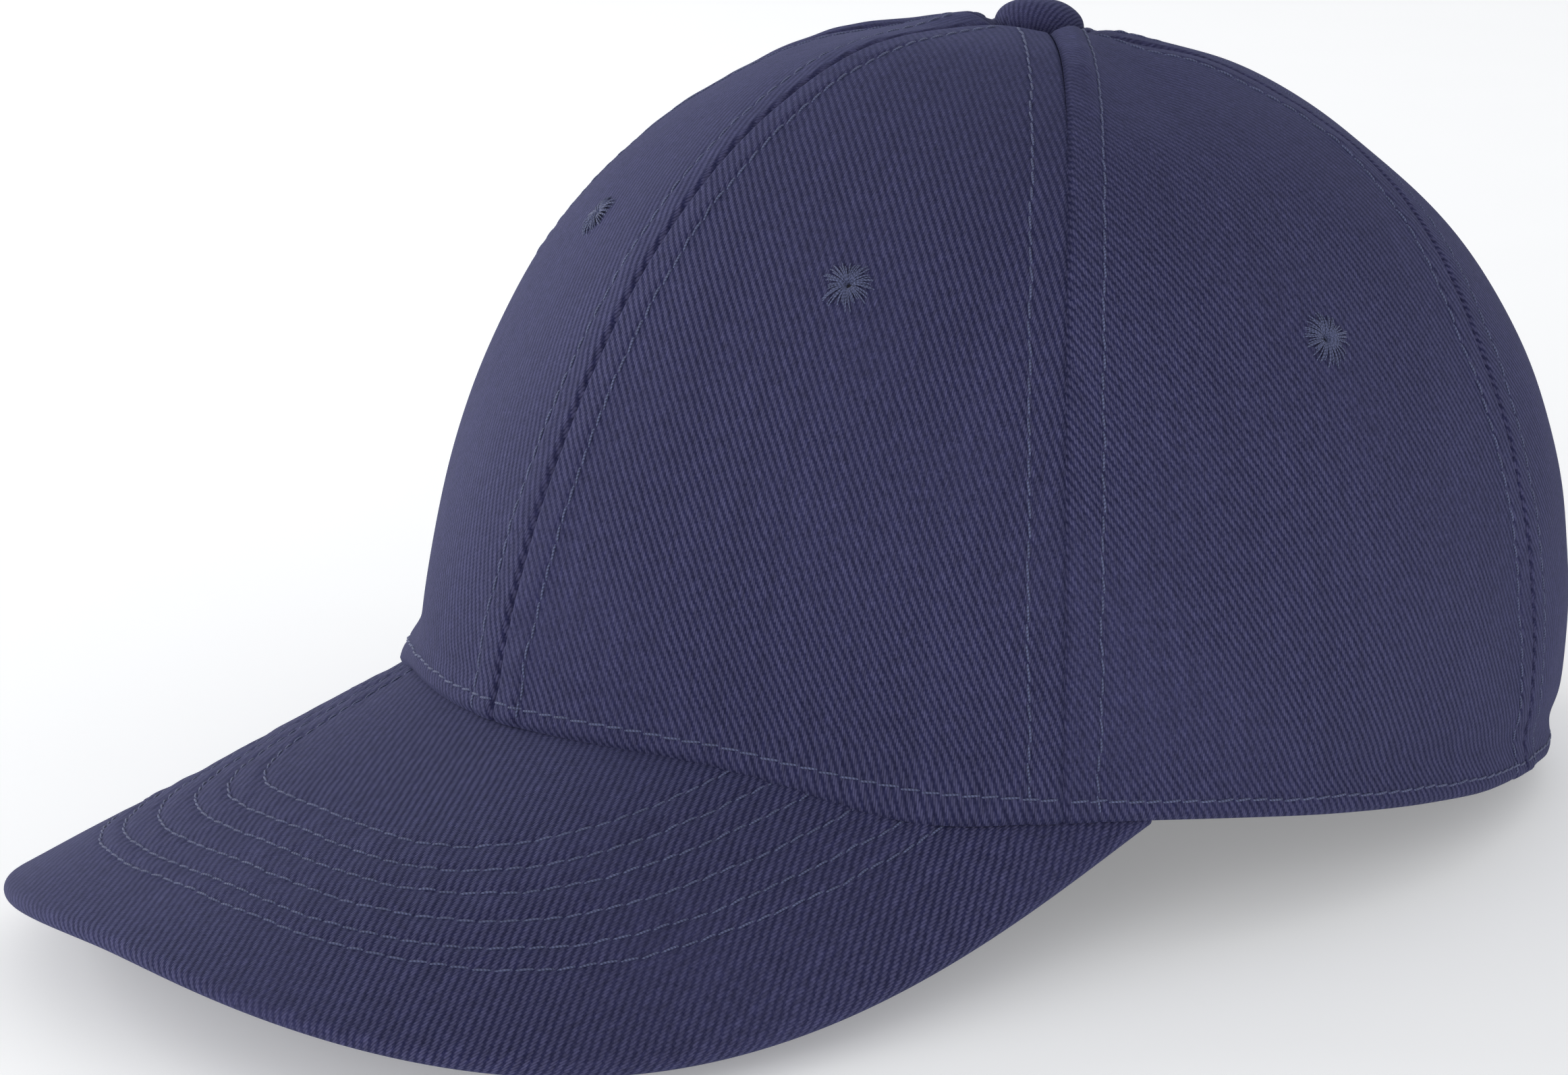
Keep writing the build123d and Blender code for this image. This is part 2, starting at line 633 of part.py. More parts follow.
for name, shape in stand(build()).items():
    export_step(shape, os.path.join("parts", name + ".step"))
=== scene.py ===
import json
from math import atan2, pi, radians

import bpy
import numpy as np
from mathutils import Matrix, Vector


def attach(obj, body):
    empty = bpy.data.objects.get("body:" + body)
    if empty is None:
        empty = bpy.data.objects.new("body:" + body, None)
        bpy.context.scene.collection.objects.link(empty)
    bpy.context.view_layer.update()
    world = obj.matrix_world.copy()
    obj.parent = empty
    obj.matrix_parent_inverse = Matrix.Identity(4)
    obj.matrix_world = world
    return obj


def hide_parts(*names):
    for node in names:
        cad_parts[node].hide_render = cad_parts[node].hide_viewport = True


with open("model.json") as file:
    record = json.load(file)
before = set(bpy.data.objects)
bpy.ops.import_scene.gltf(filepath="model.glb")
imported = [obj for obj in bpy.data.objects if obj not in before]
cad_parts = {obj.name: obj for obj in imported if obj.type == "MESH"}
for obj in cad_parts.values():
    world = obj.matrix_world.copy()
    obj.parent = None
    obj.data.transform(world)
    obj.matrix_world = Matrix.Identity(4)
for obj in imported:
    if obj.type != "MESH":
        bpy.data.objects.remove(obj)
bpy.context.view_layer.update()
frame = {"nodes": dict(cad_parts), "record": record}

# A navy cotton-twill cap. Shapes are worked out in millimetres in the hem frame: the hem in Z = 0,
# -Y the front, +X the wearer's left, the button on the Z axis. row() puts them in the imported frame.
# An angle round the crown is 0 at the front, 90 at the left and 180 behind.
MM = 0.001

# ---- crown and visor, as the CAD draws them
HEM_HALF_WIDTH = 86.5
HEM_HALF_LENGTH = 103.3
HEM_EGG = 0.08
HEM_NOSE = 1.08
CROWN_HEIGHT = 113.5
FALL = (0.79, 0.87, 0.69)
BULGE = (-0.01, 0.15, -0.03)
CLIMB = (1.16, 0.90, 1.30)
GORE_FLAT = 0.025
HEM_EASE = 14.0
HEM_LIFT = 0.7
TOP_RISE = 0.982
VISOR_CORNER = 67.3
VISOR_REACH = 133.0
VISOR_FLARE = 6.0
VISOR_SQUARE_X = 0.78
VISOR_SQUARE_Y = 0.825
VISOR_ARCH_RADIUS = 140.0
VISOR_ARCH_STEEPEN = 5.0
VISOR_SLOPE = 21.4
VISOR_TUCK = 1.5
VISOR_THICK = 3.3
CLOTH = 0.7
ARCH_HALF_WIDTH = 36.0
ARCH_HEIGHT = 44.0

# each seam's angle at the hem, how far it swings half-way up, and how far it swings back near the top
SEAMS = {
    "front": (0.0, 0.0, 0.0), "side_left": (59.0, -3.2, 0.0), "back_left": (119.2, -14.0, 6.0),
    "rear": (180.0, 0.0, 0.0), "rear_again": (-180.0, 0.0, 0.0),
    "back_right": (-119.2, 14.0, -6.0), "side_right": (-59.0, 3.2, 0.0),
}
SEAM_RETURN_RISE = 0.72
SEAM_RETURN_SPAN = 0.2
PANELS = {
    "front_left": ("front", "side_left"), "side_left": ("side_left", "back_left"),
    "back_left": ("back_left", "rear"), "back_right": ("rear_again", "back_right"),
    "side_right": ("back_right", "side_right"), "front_right": ("side_right", "front"),
}
EYELETS = {
    "front_left": (32.3, 74.6), "front_right": (-27.3, 78.4),
    "side_left": (82.1, 72.5), "side_right": (-82.1, 72.5),
    "back_left": (143.0, 71.0), "back_right": (-143.0, 71.0),
}

mount = next(m for m in frame["record"]["mounts"] if m["name"] == "head_opening")
HEM_ORIGIN = np.array(mount["pos_m"], float)
TILT = atan2(-mount["axis"][1], -mount["axis"][2])
TURN = np.array([
    [1, 0, 0],
    [0, np.cos(TILT), np.sin(TILT)],
    [0, -np.sin(TILT), np.cos(TILT)],
])


def row(points):
    """Hem-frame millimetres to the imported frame's metres."""
    return points @ TURN.T * MM + HEM_ORIGIN


# ---- shape functions, on arrays

def power(value, exponent):
    return np.sign(value) * np.abs(value) ** exponent


def ease(part):
    part = np.clip(part, 0.0, 1.0)
    return part * part * (3 - 2 * part)


def bell(distance, width):
    return np.exp(-(distance / width) ** 2)


def around(values, angle):
    """Front, side and back values, joined smoothly round the crown."""
    front, side, back = values
    turn = np.radians(angle)
    mean = (front + back) / 4 + side / 2
    return mean + (front - back) / 2 * np.cos(turn) + ((front + back) / 4 - side / 2) * np.cos(2 * turn)


def hem_plan(angle):
    s, c = np.sin(np.radians(angle)), np.cos(np.radians(angle))
    nose = HEM_NOSE + (1 - HEM_NOSE) * (1 - c) / 2
    return HEM_HALF_WIDTH * power(s, nose) * (1 - HEM_EGG * c), -HEM_HALF_LENGTH * power(c, nose)


CORNER_X, CORNER_Y = (float(value) for value in hem_plan(VISOR_CORNER))


def arch_drop(x):
    return x * x / (2 * VISOR_ARCH_RADIUS) * (1 + VISOR_ARCH_STEEPEN / 4 * (x / VISOR_ARCH_RADIUS) ** 2)


def visor_height(x, y):
    return np.tan(radians(VISOR_SLOPE)) * (y - CORNER_Y) + arch_drop(CORNER_X) - arch_drop(x)


def hem_height(angle):
    return visor_height(*hem_plan(angle)) * ease((VISOR_CORNER - np.abs(angle)) / HEM_EASE)


def crown_point(angle, rise):
    """Outer surface of the crown; rise runs from 0 at the hem to 1 at the button."""
    turn = rise * pi / 2
    x, y = hem_plan(angle)
    low = hem_height(angle)
    gore = 1 - GORE_FLAT * np.sin(2 * turn) * np.sin(np.radians(3 * angle)) ** 2
    bulge = 1 + around(BULGE, angle) * np.sin(2 * turn)
    reach = np.cos(turn) ** around(FALL, angle) * bulge * gore
    height = low + (CROWN_HEIGHT - low) * np.sin(turn) ** around(CLIMB, angle)
    return np.stack([x * reach, y * reach, height + 0 * x], -1)


def unit(vectors):
    return vectors / np.maximum(np.linalg.norm(vectors, axis=-1, keepdims=True), 1e-9)


def crown_normal(angle, rise):
    low, high = np.maximum(rise - 0.002, 0.0), np.minimum(rise + 0.002, 1.0)
    along = crown_point(angle + 0.02, rise) - crown_point(angle - 0.02, rise)
    up = crown_point(angle, high) - crown_point(angle, low)
    return unit(np.cross(along, up))


def behind_crown(angle, rise, depth):
    """Points this deep behind the crown's outer surface, and its normals there."""
    normal = crown_normal(angle, rise)
    return crown_point(angle, rise) - normal * (depth + 0 * rise)[..., None], normal


def rise_at(angle, height):
    low = hem_height(angle)
    part = np.clip((height - low) / (CROWN_HEIGHT - low), 0.0, 1.0)
    return np.arcsin(part ** (1 / around(CLIMB, angle))) * 2 / pi


def seam_angle(seam, rise):
    return seam[0] + seam[1] * np.sin(pi * rise) + seam[2] * bell(rise - SEAM_RETURN_RISE, SEAM_RETURN_SPAN)


def back_place(x, z):
    """Angle and rise of the crown's point at this x and height, behind."""
    angle = 180 - x * 0.66
    rise = rise_at(angle, z)
    for _ in range(8):
        here = crown_point(angle, rise)
        by_angle = (crown_point(angle + 0.01, rise) - here) / 0.01
        by_rise = (crown_point(angle, rise + 0.001) - here) / 0.001
        error_x, error_z = x - here[..., 0], z - here[..., 2]
        det = by_angle[..., 0] * by_rise[..., 2] - by_rise[..., 0] * by_angle[..., 2]
        angle = angle + (error_x * by_rise[..., 2] - by_rise[..., 0] * error_z) / det
        rise = np.clip(rise + (by_angle[..., 0] * error_z - error_x * by_angle[..., 2]) / det, 0.0, 0.98)
    return angle, rise


def waves(points, size, seed, count=14):
    """Smooth seeded noise of about unit size, its features this many millimetres across."""
    draw = np.random.RandomState(seed)
    total = 0
    for _ in range(count):
        direction = draw.normal(size=3)
        direction = direction / np.linalg.norm(direction)
        length = size * draw.uniform(0.7, 1.7)
        total = total + np.sin(points @ direction * (2 * pi / length) + draw.uniform(0, 2 * pi))
    return total / np.sqrt(count / 2)


def run_length(points, axis):
    """Distance along a grid's rows or columns from its first point."""
    steps = np.linalg.norm(np.diff(points, axis=axis), axis=-1)
    start = np.zeros_like(np.take(steps, [0], axis=axis))
    return np.concatenate([start, np.cumsum(steps, axis=axis)], axis=axis)


def read_at(values, length, at):
    """Rows of values, known at these lengths, read at other lengths."""
    return np.stack([np.interp(at, length, column) for column in values.T], -1)


def even_path(path, count):
    """A path of this many points, evenly spaced."""
    length = run_length(path, 0)
    return read_at(path, length, np.linspace(0, length[-1], count))


def grid_normals(points):
    """Normals of a grid whose columns run right and rows run up, seen from outside."""
    right = np.gradient(points, axis=1)
    up = np.gradient(points, axis=0)
    return unit(np.cross(right, up))


def laid_flat(grid):
    """Each grid point's place on the flat cloth, in millimetres."""
    return np.stack([run_length(grid, 1), run_length(grid, 0)], -1)


def round_spokes(right, up, turn):
    """Directions round a circle, one for each value of turn."""
    return right * np.cos(turn)[..., None] + up * np.sin(turn)[..., None]


# ---- materials

class Value:
    """A number or vector in a shader; arithmetic on a number makes its math nodes."""

    def __init__(self, shader, socket):
        self.shader = shader
        self.socket = socket

    def __add__(self, other):
        return self.shader.math("ADD", self, other)

    def __sub__(self, other):
        return self.shader.math("SUBTRACT", self, other)

    def __rsub__(self, other):
        return self.shader.math("SUBTRACT", other, self)

    def __mul__(self, other):
        return self.shader.math("MULTIPLY", self, other)

    def __truediv__(self, other):
        return self.shader.math("DIVIDE", self, other)


class Shader:
    """A material or world under construction: its surface node and short ways to feed it."""

    def __init__(self, owner, surface="Principled BSDF"):
        owner.use_nodes = True
        self.tree = owner.node_tree
        self.surface = self.tree.nodes[surface]

    def feed(self, socket, value):
        if isinstance(value, Value):
            self.tree.links.new(value.socket, socket)
        elif isinstance(value, tuple) and len(value) == 3 and len(socket.default_value) == 4:
            socket.default_value = (*value, 1)
        else:
            socket.default_value = value

    def node(self, kind, inputs, output=0, **settings):
        """Adds a node, feeds its named or numbered inputs and returns one of its outputs."""
        made = self.tree.nodes.new(kind)
        for key, value in settings.items():
            setattr(made, key, value)
        for key, value in inputs.items():
            self.feed(made.inputs[key], value)
        return Value(self, made.outputs[output])

    def set(self, **values):
        for key, value in values.items():
            self.feed(self.surface.inputs[key.replace("_", " ")], value)

    def math(self, operation, *values, clamp=False):
        return self.node("ShaderNodeMath", dict(enumerate(values)), operation=operation, use_clamp=clamp)

    def split(self, vector):
        parts = self.node("ShaderNodeSeparateXYZ", {0: vector}).socket.node.outputs
        return [Value(self, part) for part in parts]

    def join(self, x, y, z):
        return self.node("ShaderNodeCombineXYZ", {0: x, 1: y, 2: z})

    def scale(self, vector, factor):
        """A vector or colour times a number."""
        return self.node("ShaderNodeVectorMath", {0: vector, "Scale": factor}, operation="SCALE")

    def cloth(self):
        """Place on the flat cloth in millimetres."""
        return self.node("ShaderNodeAttribute", {}, "Vector", attribute_name="cloth")

    def place(self):
        """Object position in millimetres."""
        return self.scale(self.node("ShaderNodeTexCoord", {}, "Object"), 1 / MM)

    def noise(self, vector, per_mm, detail=2.0, rough=0.5):
        """Noise about 0.5, with about this many features in a millimetre."""
        inputs = {"Vector": vector, "Scale": per_mm, "Detail": detail, "Roughness": rough}
        return self.node("ShaderNodeTexNoise", inputs, "Fac")

    def random(self, value):
        return self.node("ShaderNodeTexWhiteNoise", {"W": value}, "Value", noise_dimensions="1D")

    def span(self, value, from_low, from_high, to_low, to_high, smooth=False):
        kind = "SMOOTHSTEP" if smooth else "LINEAR"
        numbers = dict(enumerate((value, from_low, from_high, to_low, to_high)))
        return self.node("ShaderNodeMapRange", numbers, interpolation_type=kind)

    def vary(self, noise, low, high):
        """Noise, stretched from its usual range to this one."""
        return self.span(noise, 0.3, 0.7, low, high)

    def mix(self, factor, first, second):
        return self.node("ShaderNodeMix", {0: factor, 6: first, 7: second}, 2, data_type="RGBA")

    def bump(self, height, depth_mm, strength=1.0):
        inputs = {"Height": height, "Distance": depth_mm * MM, "Strength": strength}
        self.set(Normal=self.node("ShaderNodeBump", inputs))


def new_material(name):
    material = bpy.data.materials.new(name)
    return material, Shader(material)


# how far a yarn strays sideways, in millimetres
YARN_WANDER = 0.56


def weave(shader, warp, weft, over):
    """A woven cloth's height (0 to 1), how far each yarn floats, and the yarn's number.
    warp and weft are the yarn spacings in mm; a warp yarn passes over all but one of `over` wefts."""
    across, along, layer = shader.split(shader.cloth())
    across = across + (shader.noise(shader.cloth(), 0.35, 3.0) - 0.5) * YARN_WANDER
    yarns = across / warp
    number = shader.math("FLOOR", yarns)
    side = yarns - number
    swing = shader.math("COSINE", (along / weft + number) / over * (2 * pi))
    floating = shader.span(swing, -0.75, 0.55, 0.0, 1.0, smooth=True)
    profile = side * (1.0 - side) * 4.0
    plies = shader.vary(shader.noise(shader.join(across * 3.5, along, layer), 1.3, 1.0), 0.72, 1.28)
    return profile * (floating * 0.65 + 0.35) * plies, floating, number


def cloth_material(name, dark, light, warp, weft, over, depth, sheen=0.10, fuzz=0.35):
    """A dyed woven cotton with brushed fuzz, slubs, uneven dye, and ribs worn flat in places."""
    material, shader = new_material(name)
    height, floating, number = weave(shader, warp, weft, over)
    place = shader.cloth()
    across, along, layer = shader.split(place)
    fibres = shader.noise(place, 5.0, 4.0, 0.65)
    specks = shader.noise(place, 2.1, 2.0, 0.7)
    streaks = shader.noise(shader.join(across, along * 0.4, layer), 1.7, 2.0)
    mottle = shader.noise(place, 0.35, 3.0, 0.6)
    patches = shader.noise(place, 0.035, 2.0)
    worn = shader.span(shader.noise(place, 0.022, 2.0), 0.45, 0.7, 0.0, 0.5)
    faded = shader.math("MAXIMUM", worn, shader.span(along, 85.0, 130.0, 0.0, 0.55))
    lit = floating * 0.55 + height * 0.45
    lit = lit + (0.42 - lit) * faded
    brushed = (fibres - 0.5) * (fuzz * 2) + (specks - 0.5) * (fuzz * 2.6)
    lit = shader.math("ADD", lit, brushed, clamp=True)
    tone = shader.random(number) * 0.16 + 0.92
    for pattern, swing in ((streaks, 0.18), (mottle, 0.09), (patches, 0.05)):
        tone = tone * shader.vary(pattern, 1 - swing, 1 + swing)
    shader.set(Base_Color=shader.scale(shader.mix(lit, dark, light), tone))
    shader.set(Roughness=shader.vary(fibres, 0.82, 0.96), Specular_IOR_Level=0.18)
    shader.set(Sheen_Weight=sheen, Sheen_Roughness=0.45, Sheen_Tint=(0.38, 0.45, 1.0))
    shader.bump(height * (1.0 - faded) + fibres * 0.45, depth)
    return material


def thread_material(name, dark, light):
    """Plied sewing thread: a helix of bright plies along it."""
    material, shader = new_material(name)
    along, turn, number = shader.split(shader.cloth())
    twist = shader.math("SINE", (along * 1.9 + (turn + shader.random(number))) * (2 * pi))
    lit = shader.span(twist, -1.0, 1.0, 0.0, 1.0)
    fibres = shader.noise(shader.place(), 7.0, 3.0, 0.6)
    tone = shader.random(number) * 0.22 + 0.89
    shader.set(Base_Color=shader.scale(shader.mix(lit, dark, light), tone))
    shader.set(Roughness=shader.vary(fibres, 0.6, 0.85), Specular_IOR_Level=0.35)
    shader.set(Sheen_Weight=0.2, Sheen_Roughness=0.4, Sheen_Tint=(0.7, 0.75, 1.0))
    shader.bump(fibres * 0.4 + lit, 0.06)
    return material


def metal_material(name, bright, dull, low=0.28, high=0.5):
    """Plated metal with fine scratches and tarnish in patches."""
    material, shader = new_material(name)
    place = shader.place()
    x, y, z = shader.split(place)
    patches = shader.noise(place, 0.25, 4.0, 0.6)
    scratches = shader.noise(shader.join(x, y * 9.0, z), 1.6, 3.0)
    shader.set(Base_Color=shader.mix(shader.span(patches, 0.35, 0.65, 0.0, 1.0), bright, dull))
    shader.set(Metallic=1.0, Roughness=shader.vary(patches, low, high))
    shader.bump(scratches, 0.02, 0.6)
    return material


def board_material(name, dark, light):
    """Pressed sheet with a fine grain."""
    material, shader = new_material(name)
    grain = shader.noise(shader.place(), 2.5, 5.0, 0.6)
    patches = shader.noise(shader.place(), 0.06, 3.0)
    shader.set(Base_Color=shader.mix(patches * 0.5 + grain * 0.5, dark, light))
    shader.set(Roughness=shader.vary(grain, 0.5, 0.7))
    shader.bump(grain, 0.05)
    return material


# each cloth's dark and light colours, yarn spacings, wefts to a float, relief in mm, sheen and fuzz
TWILL = cloth_material(
    "navy_twill_cloth", (0.0105, 0.0113, 0.0470), (0.0685, 0.0670, 0.1430), 0.327, 0.544, 4, 0.11)
COTTON = cloth_material(
    "navy_cotton_cloth", (0.020, 0.021, 0.048), (0.045, 0.048, 0.095), 0.42, 0.42, 2, 0.07, 0.15, 0.25)
TAPE = cloth_material(
    "navy_tape_cloth", (0.018, 0.019, 0.042), (0.050, 0.053, 0.100), 0.6, 0.5, 2, 0.10, 0.12, 0.2)
NET = cloth_material(
    "stiffener_net", (0.055, 0.056, 0.062), (0.155, 0.158, 0.170), 1.1, 1.1, 2, 0.16, 0.05, 0.15)
FLEECE = cloth_material(
    "padding_fleece_felt", (0.36, 0.36, 0.37), (0.62, 0.62, 0.62), 2.3, 2.1, 2, 0.15, 0.3, 0.9)
SATIN = cloth_material(
    "label_satin", (0.50, 0.49, 0.46), (0.74, 0.73, 0.70), 0.25, 0.3, 5, 0.03, 0.1, 0.15)
THREAD = thread_material("navy_thread", (0.040, 0.046, 0.100), (0.110, 0.125, 0.235))
SHADED = thread_material("navy_thread_shaded", (0.014, 0.017, 0.045), (0.030, 0.035, 0.080))
BRASS = metal_material("aged_brass", (0.56, 0.42, 0.20), (0.42, 0.30, 0.14), 0.24, 0.4)
STEEL = metal_material("button_steel", (0.60, 0.60, 0.61), (0.42, 0.42, 0.43))
BOARD = board_material("visor_board_sheet", (0.34, 0.34, 0.33), (0.52, 0.52, 0.50))


# ---- meshes

def put(name, data):
    """An object in the scene."""
    made = bpy.data.objects.new(name, data)
    bpy.context.scene.collection.objects.link(made)
    return made


def make_object(name, points, faces, cloth, material, body="crown", replaces=(), sharp=50):
    """A mesh piece from hem-frame points, riding on a body. cloth is each point's place on the flat cloth."""
    mesh = bpy.data.meshes.new(name)
    mesh.from_pydata(row(points).tolist(), [], faces)
    mesh.polygons.foreach_set("use_smooth", np.ones(len(mesh.polygons), bool))
    mesh.set_sharp_from_angle(angle=radians(sharp))
    places = np.zeros((len(points), 3), np.float32)
    places[:, :cloth.shape[-1]] = cloth
    mesh.attributes.new("cloth", "FLOAT_VECTOR", "POINT").data.foreach_set("vector", places.ravel())
    mesh.materials.append(material)
    made = put(name, mesh)
    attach(made, body)
    if replaces:
        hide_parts(*replaces)
    return made


def shell(name, outer, normals, thickness, cloth, keep=None, **looks):
    """A closed sheet: a grid's outer face, its inner face, and the rims round what is kept of it."""
    rows, columns = outer.shape[:2]
    count = rows * columns
    index = np.arange(count).reshape(rows, columns)
    a, b, c, d = index[:-1, :-1], index[:-1, 1:], index[1:, 1:], index[1:, :-1]
    if keep is None:
        keep = np.ones(a.shape, bool)
    bounded = np.pad(keep, 1)
    faces = [np.stack([a, b, c, d], -1)[keep], np.stack([a, d, c, b], -1)[keep] + count]
    sides = (
        (a, b, bounded[:-2, 1:-1]), (b, c, bounded[1:-1, 2:]),
        (c, d, bounded[2:, 1:-1]), (d, a, bounded[1:-1, :-2]),
    )
    for first, second, neighbour in sides:
        rim = keep & ~neighbour
        faces.append(np.stack([second, first, first + count, second + count], -1)[rim])
    faces = np.concatenate(faces)
    points = np.concatenate([outer.reshape(-1, 3), (outer - normals * thickness).reshape(-1, 3)])
    places = np.tile(cloth.reshape(-1, cloth.shape[-1]), (2, 1))
    used, faces = np.unique(faces, return_inverse=True)
    return make_object(name, points[used], faces.reshape(-1, 4).tolist(), places[used], **looks)


def tubes(name, paths, ups, radii, sides=6, **looks):
    """Many short round threads in one mesh. paths is (threads, rings, 3)."""
    threads, rings = paths.shape[:2]
    forward = unit(np.gradient(paths, axis=1))
    aside = unit(np.cross(forward, ups))
    up = np.cross(aside, forward)
    turn = np.linspace(0, 2 * pi, sides, endpoint=False)
    spoke = round_spokes(aside[:, :, None], up[:, :, None], turn)
    points = paths[:, :, None] + spoke * np.broadcast_to(radii, (threads, rings))[:, :, None, None]
    length = run_length(paths, 1)
    cloth = np.stack(np.broadcast_arrays(
        length[:, :, None], turn / (2 * pi), np.arange(threads)[:, None, None] * 1.0), -1)
    index = np.arange(threads * rings * sides).reshape(threads, rings, sides)
    after = np.roll(index, -1, axis=2)
    faces = np.stack([index[:, :-1], after[:, :-1], after[:, 1:], index[:, 1:]], -1).reshape(-1, 4).tolist()
    faces += index[:, 0, ::-1].tolist() + index[:, -1].tolist()
    return make_object(name, points.reshape(-1, 3), faces, cloth.reshape(-1, 3), sharp=80, **looks)


STITCH = 3.0
STITCH_RINGS = 9
THREAD_RADIUS = 0.19
THREAD_SINK = 0.18
STITCH_SLANT = 0.30
STITCH_STRAY = 0.09
PATH_STEP = 0.25


def stitches(sewn, pitch, radius, seed):
    """Thread paths of lockstitches along several (path, normals) rows."""
    draw = np.random.RandomState(seed)
    paths, ups = [], []
    part = np.linspace(0, 1, STITCH_RINGS)
    lift = radius * 0.75 - (radius + THREAD_SINK) * (1 - np.sin(pi * part) ** 0.3)
    for path, normals in sewn:
        length = run_length(path, 0)
        steps = max(int(round(length[-1] / PATH_STEP)), 1)
        at = np.linspace(0, length[-1], steps + 1)
        path, normals = read_at(path, length, at), read_at(normals, length, at)
        length = run_length(path, 0)
        count = max(int(length[-1] / pitch), 1)
        step = length[-1] / count
        ends = (np.arange(count + 1) + np.r_[0, draw.uniform(-0.07, 0.07, count - 1), 0]) * step
        first, last = ends[:-1, None] + 0.02 * step, ends[1:, None] - 0.02 * step
        at = first + (last - first) * part
        up = unit(read_at(normals, length, at))
        centre = read_at(path, length, at)
        aside = np.cross(up, unit(np.gradient(centre, axis=1)))
        slant = STITCH_SLANT * (part[:, None] - 0.5) + draw.uniform(-0.05, 0.05, (count, 1, 1))
        stray = (waves(centre, 7.0, seed) * STITCH_STRAY)[..., None]
        paths.append(centre + aside * (slant + stray) + up * lift[:, None])
        ups.append(up)
    return np.concatenate(paths), np.concatenate(ups)


def stitch_rows(name, sewn, seed, body="crown", pitch=STITCH, radius=THREAD_RADIUS):
    """A piece of separate stitches, thinner at their ends."""
    paths, ups = stitches(sewn, pitch, radius, seed)
    radii = radius * (0.75 + 0.25 * np.sin(pi * np.linspace(0, 1, STITCH_RINGS)))
    tubes(name, paths, ups, radii, material=THREAD, body=body)


# the narrowest side a sheet may be declared with is 10 mm; the rear opening's facing is narrower
SHORTEST_CUT = 10.5


def cloth_piece(
        name, node, grid, normals, thickness, material, keep=None, cloth=None,
        bare=None, flat=None):
    """A sheet of cloth in place of a CAD node. The size it was cut to is worked out but not kept.
    It is measured along its grid, or along bare, the grid before its relief."""
    cloth = laid_flat(grid) if cloth is None else cloth
    made = shell(name, grid, normals, thickness, cloth, keep, material=material, replaces=[node])
    bare = grid if bare is None else bare
    cell = np.cross(bare[1:, 1:] - bare[:-1, :-1], bare[1:, :-1] - bare[:-1, 1:])
    cell = np.linalg.norm(cell, axis=-1) / 2
    area = cell.sum() if keep is None else cell[keep].sum()
    if flat is None:
        flat = (run_length(bare, 1)[:, -1].max(), run_length(bare, 0)[-1].max())
    width, length = (max(side, SHORTEST_CUT) for side in flat)
    width * MM
    length * MM
    min(area, width * length) * MM * MM


# ---- crown panels

PANEL_COLUMNS = 150
PANEL_ROWS = 210
SEAM_ROW = 5.5
HEM_ROW = 3.0
ARCH_ROWS = (2.2, 7.4)
EYELET_HOLE = 1.6


def drape(points):
    """Slow unevenness of the whole crown, in millimetres; the stiffened front is smoother."""
    soft = ease((points[..., 1] + 60) / 70)
    return waves(points, 62, 11) * (0.16 + 0.30 * soft) + waves(points, 24, 12) * (0.05 + 0.07 * soft)


def seam_relief(distance, fade, points):
    """Height of the cloth near a seam: the groove, the raised allowance and the sunk stitch row."""
    raised = 0.26 * ease(distance / 1.2) * (1 - ease((distance - 4.0) / 3.0))
    sunk = -0.20 * bell(distance - SEAM_ROW, 0.55)
    groove = -0.50 * bell(distance, 0.42)
    pucker = waves(points, 6.5, 21, 20) * 0.07 * bell(distance - 4.0, 3.2)
    return (raised + sunk + pucker) * fade + groove


def hem_relief(height, angle):
    """Height near the hem: a turned edge, the stitch row, and behind the visor a waist and a roll."""
    free = ease((np.abs(angle) - 52) / 22)
    edge = -0.55 * (1 - ease(height / 0.9))
    roll = 0.55 * bell(height - 1.8, 2.2) * (0.35 + 0.65 * free)
    waist = -0.75 * bell(height - 7.5, 3.4) * free - 0.22 * bell(height - 6.0, 2.0) * (1 - free)
    sunk = -0.22 * bell(height - HEM_ROW, 0.5)
    return edge + roll + waist + sunk


PUFFS = {
    "front_left": 0.5, "side_left": 0.6, "back_left": 0.8,
    "back_right": 1.0, "side_right": 1.4, "front_right": 1.9,
}


def top_relief(points, rise, across, width, name):
    """The gores puffed round the button, the seat it sinks into, and a soft ridge beside the side seams."""
    radius = np.hypot(points[..., 0], points[..., 1])
    puff = PUFFS[name] * bell(radius - 13, 9) * (0.2 + 0.8 * np.sin(pi * across / np.maximum(width, 1e-3)))
    seat = -2.0 * (1 - ease((radius - 6.5) / 6.5))
    beside = across if name == "side_left" else width - across
    ridge = 1.3 * bell(beside - 3.4, 2.8) * ease((rise - 0.62) / 0.22) * ease((radius - 7) / 6)
    ridge = ridge - 1.3 * bell(beside - 15, 8) * bell(rise - 0.82, 0.11)
    return puff + seat + (ridge if name.startswith("side") else 0)


FLARE = 4.6
FLARE_HEIGHT = 10.0
FLARE_ANGLE = 45.0


def flare(points, normal, height, angle):
    """Pushes the crown's foot outward along the visor, where the visor's bent ends hold it away."""
    low = (1 - ease(height / FLARE_HEIGHT)) ** 1.5
    level = unit(normal * np.array([1.0, 1.0, 0.0]))
    size = FLARE * low * bell(np.abs(angle) - FLARE_ANGLE, 13)
    moved = points + level * size[..., None]
    drop = visor_height(moved[..., 0], moved[..., 1]) - visor_height(points[..., 0], points[..., 1])
    moved[..., 2] += drop * low
    return moved


def arch_measure(x, z, margin):
    """The rear opening's half-width and height, and how far out a point lies (1 on its edge)."""
    wide, tall = ARCH_HALF_WIDTH + margin, ARCH_HEIGHT + margin
    return wide, tall, np.sqrt((x / wide) ** 2 + (z / tall) ** 2)


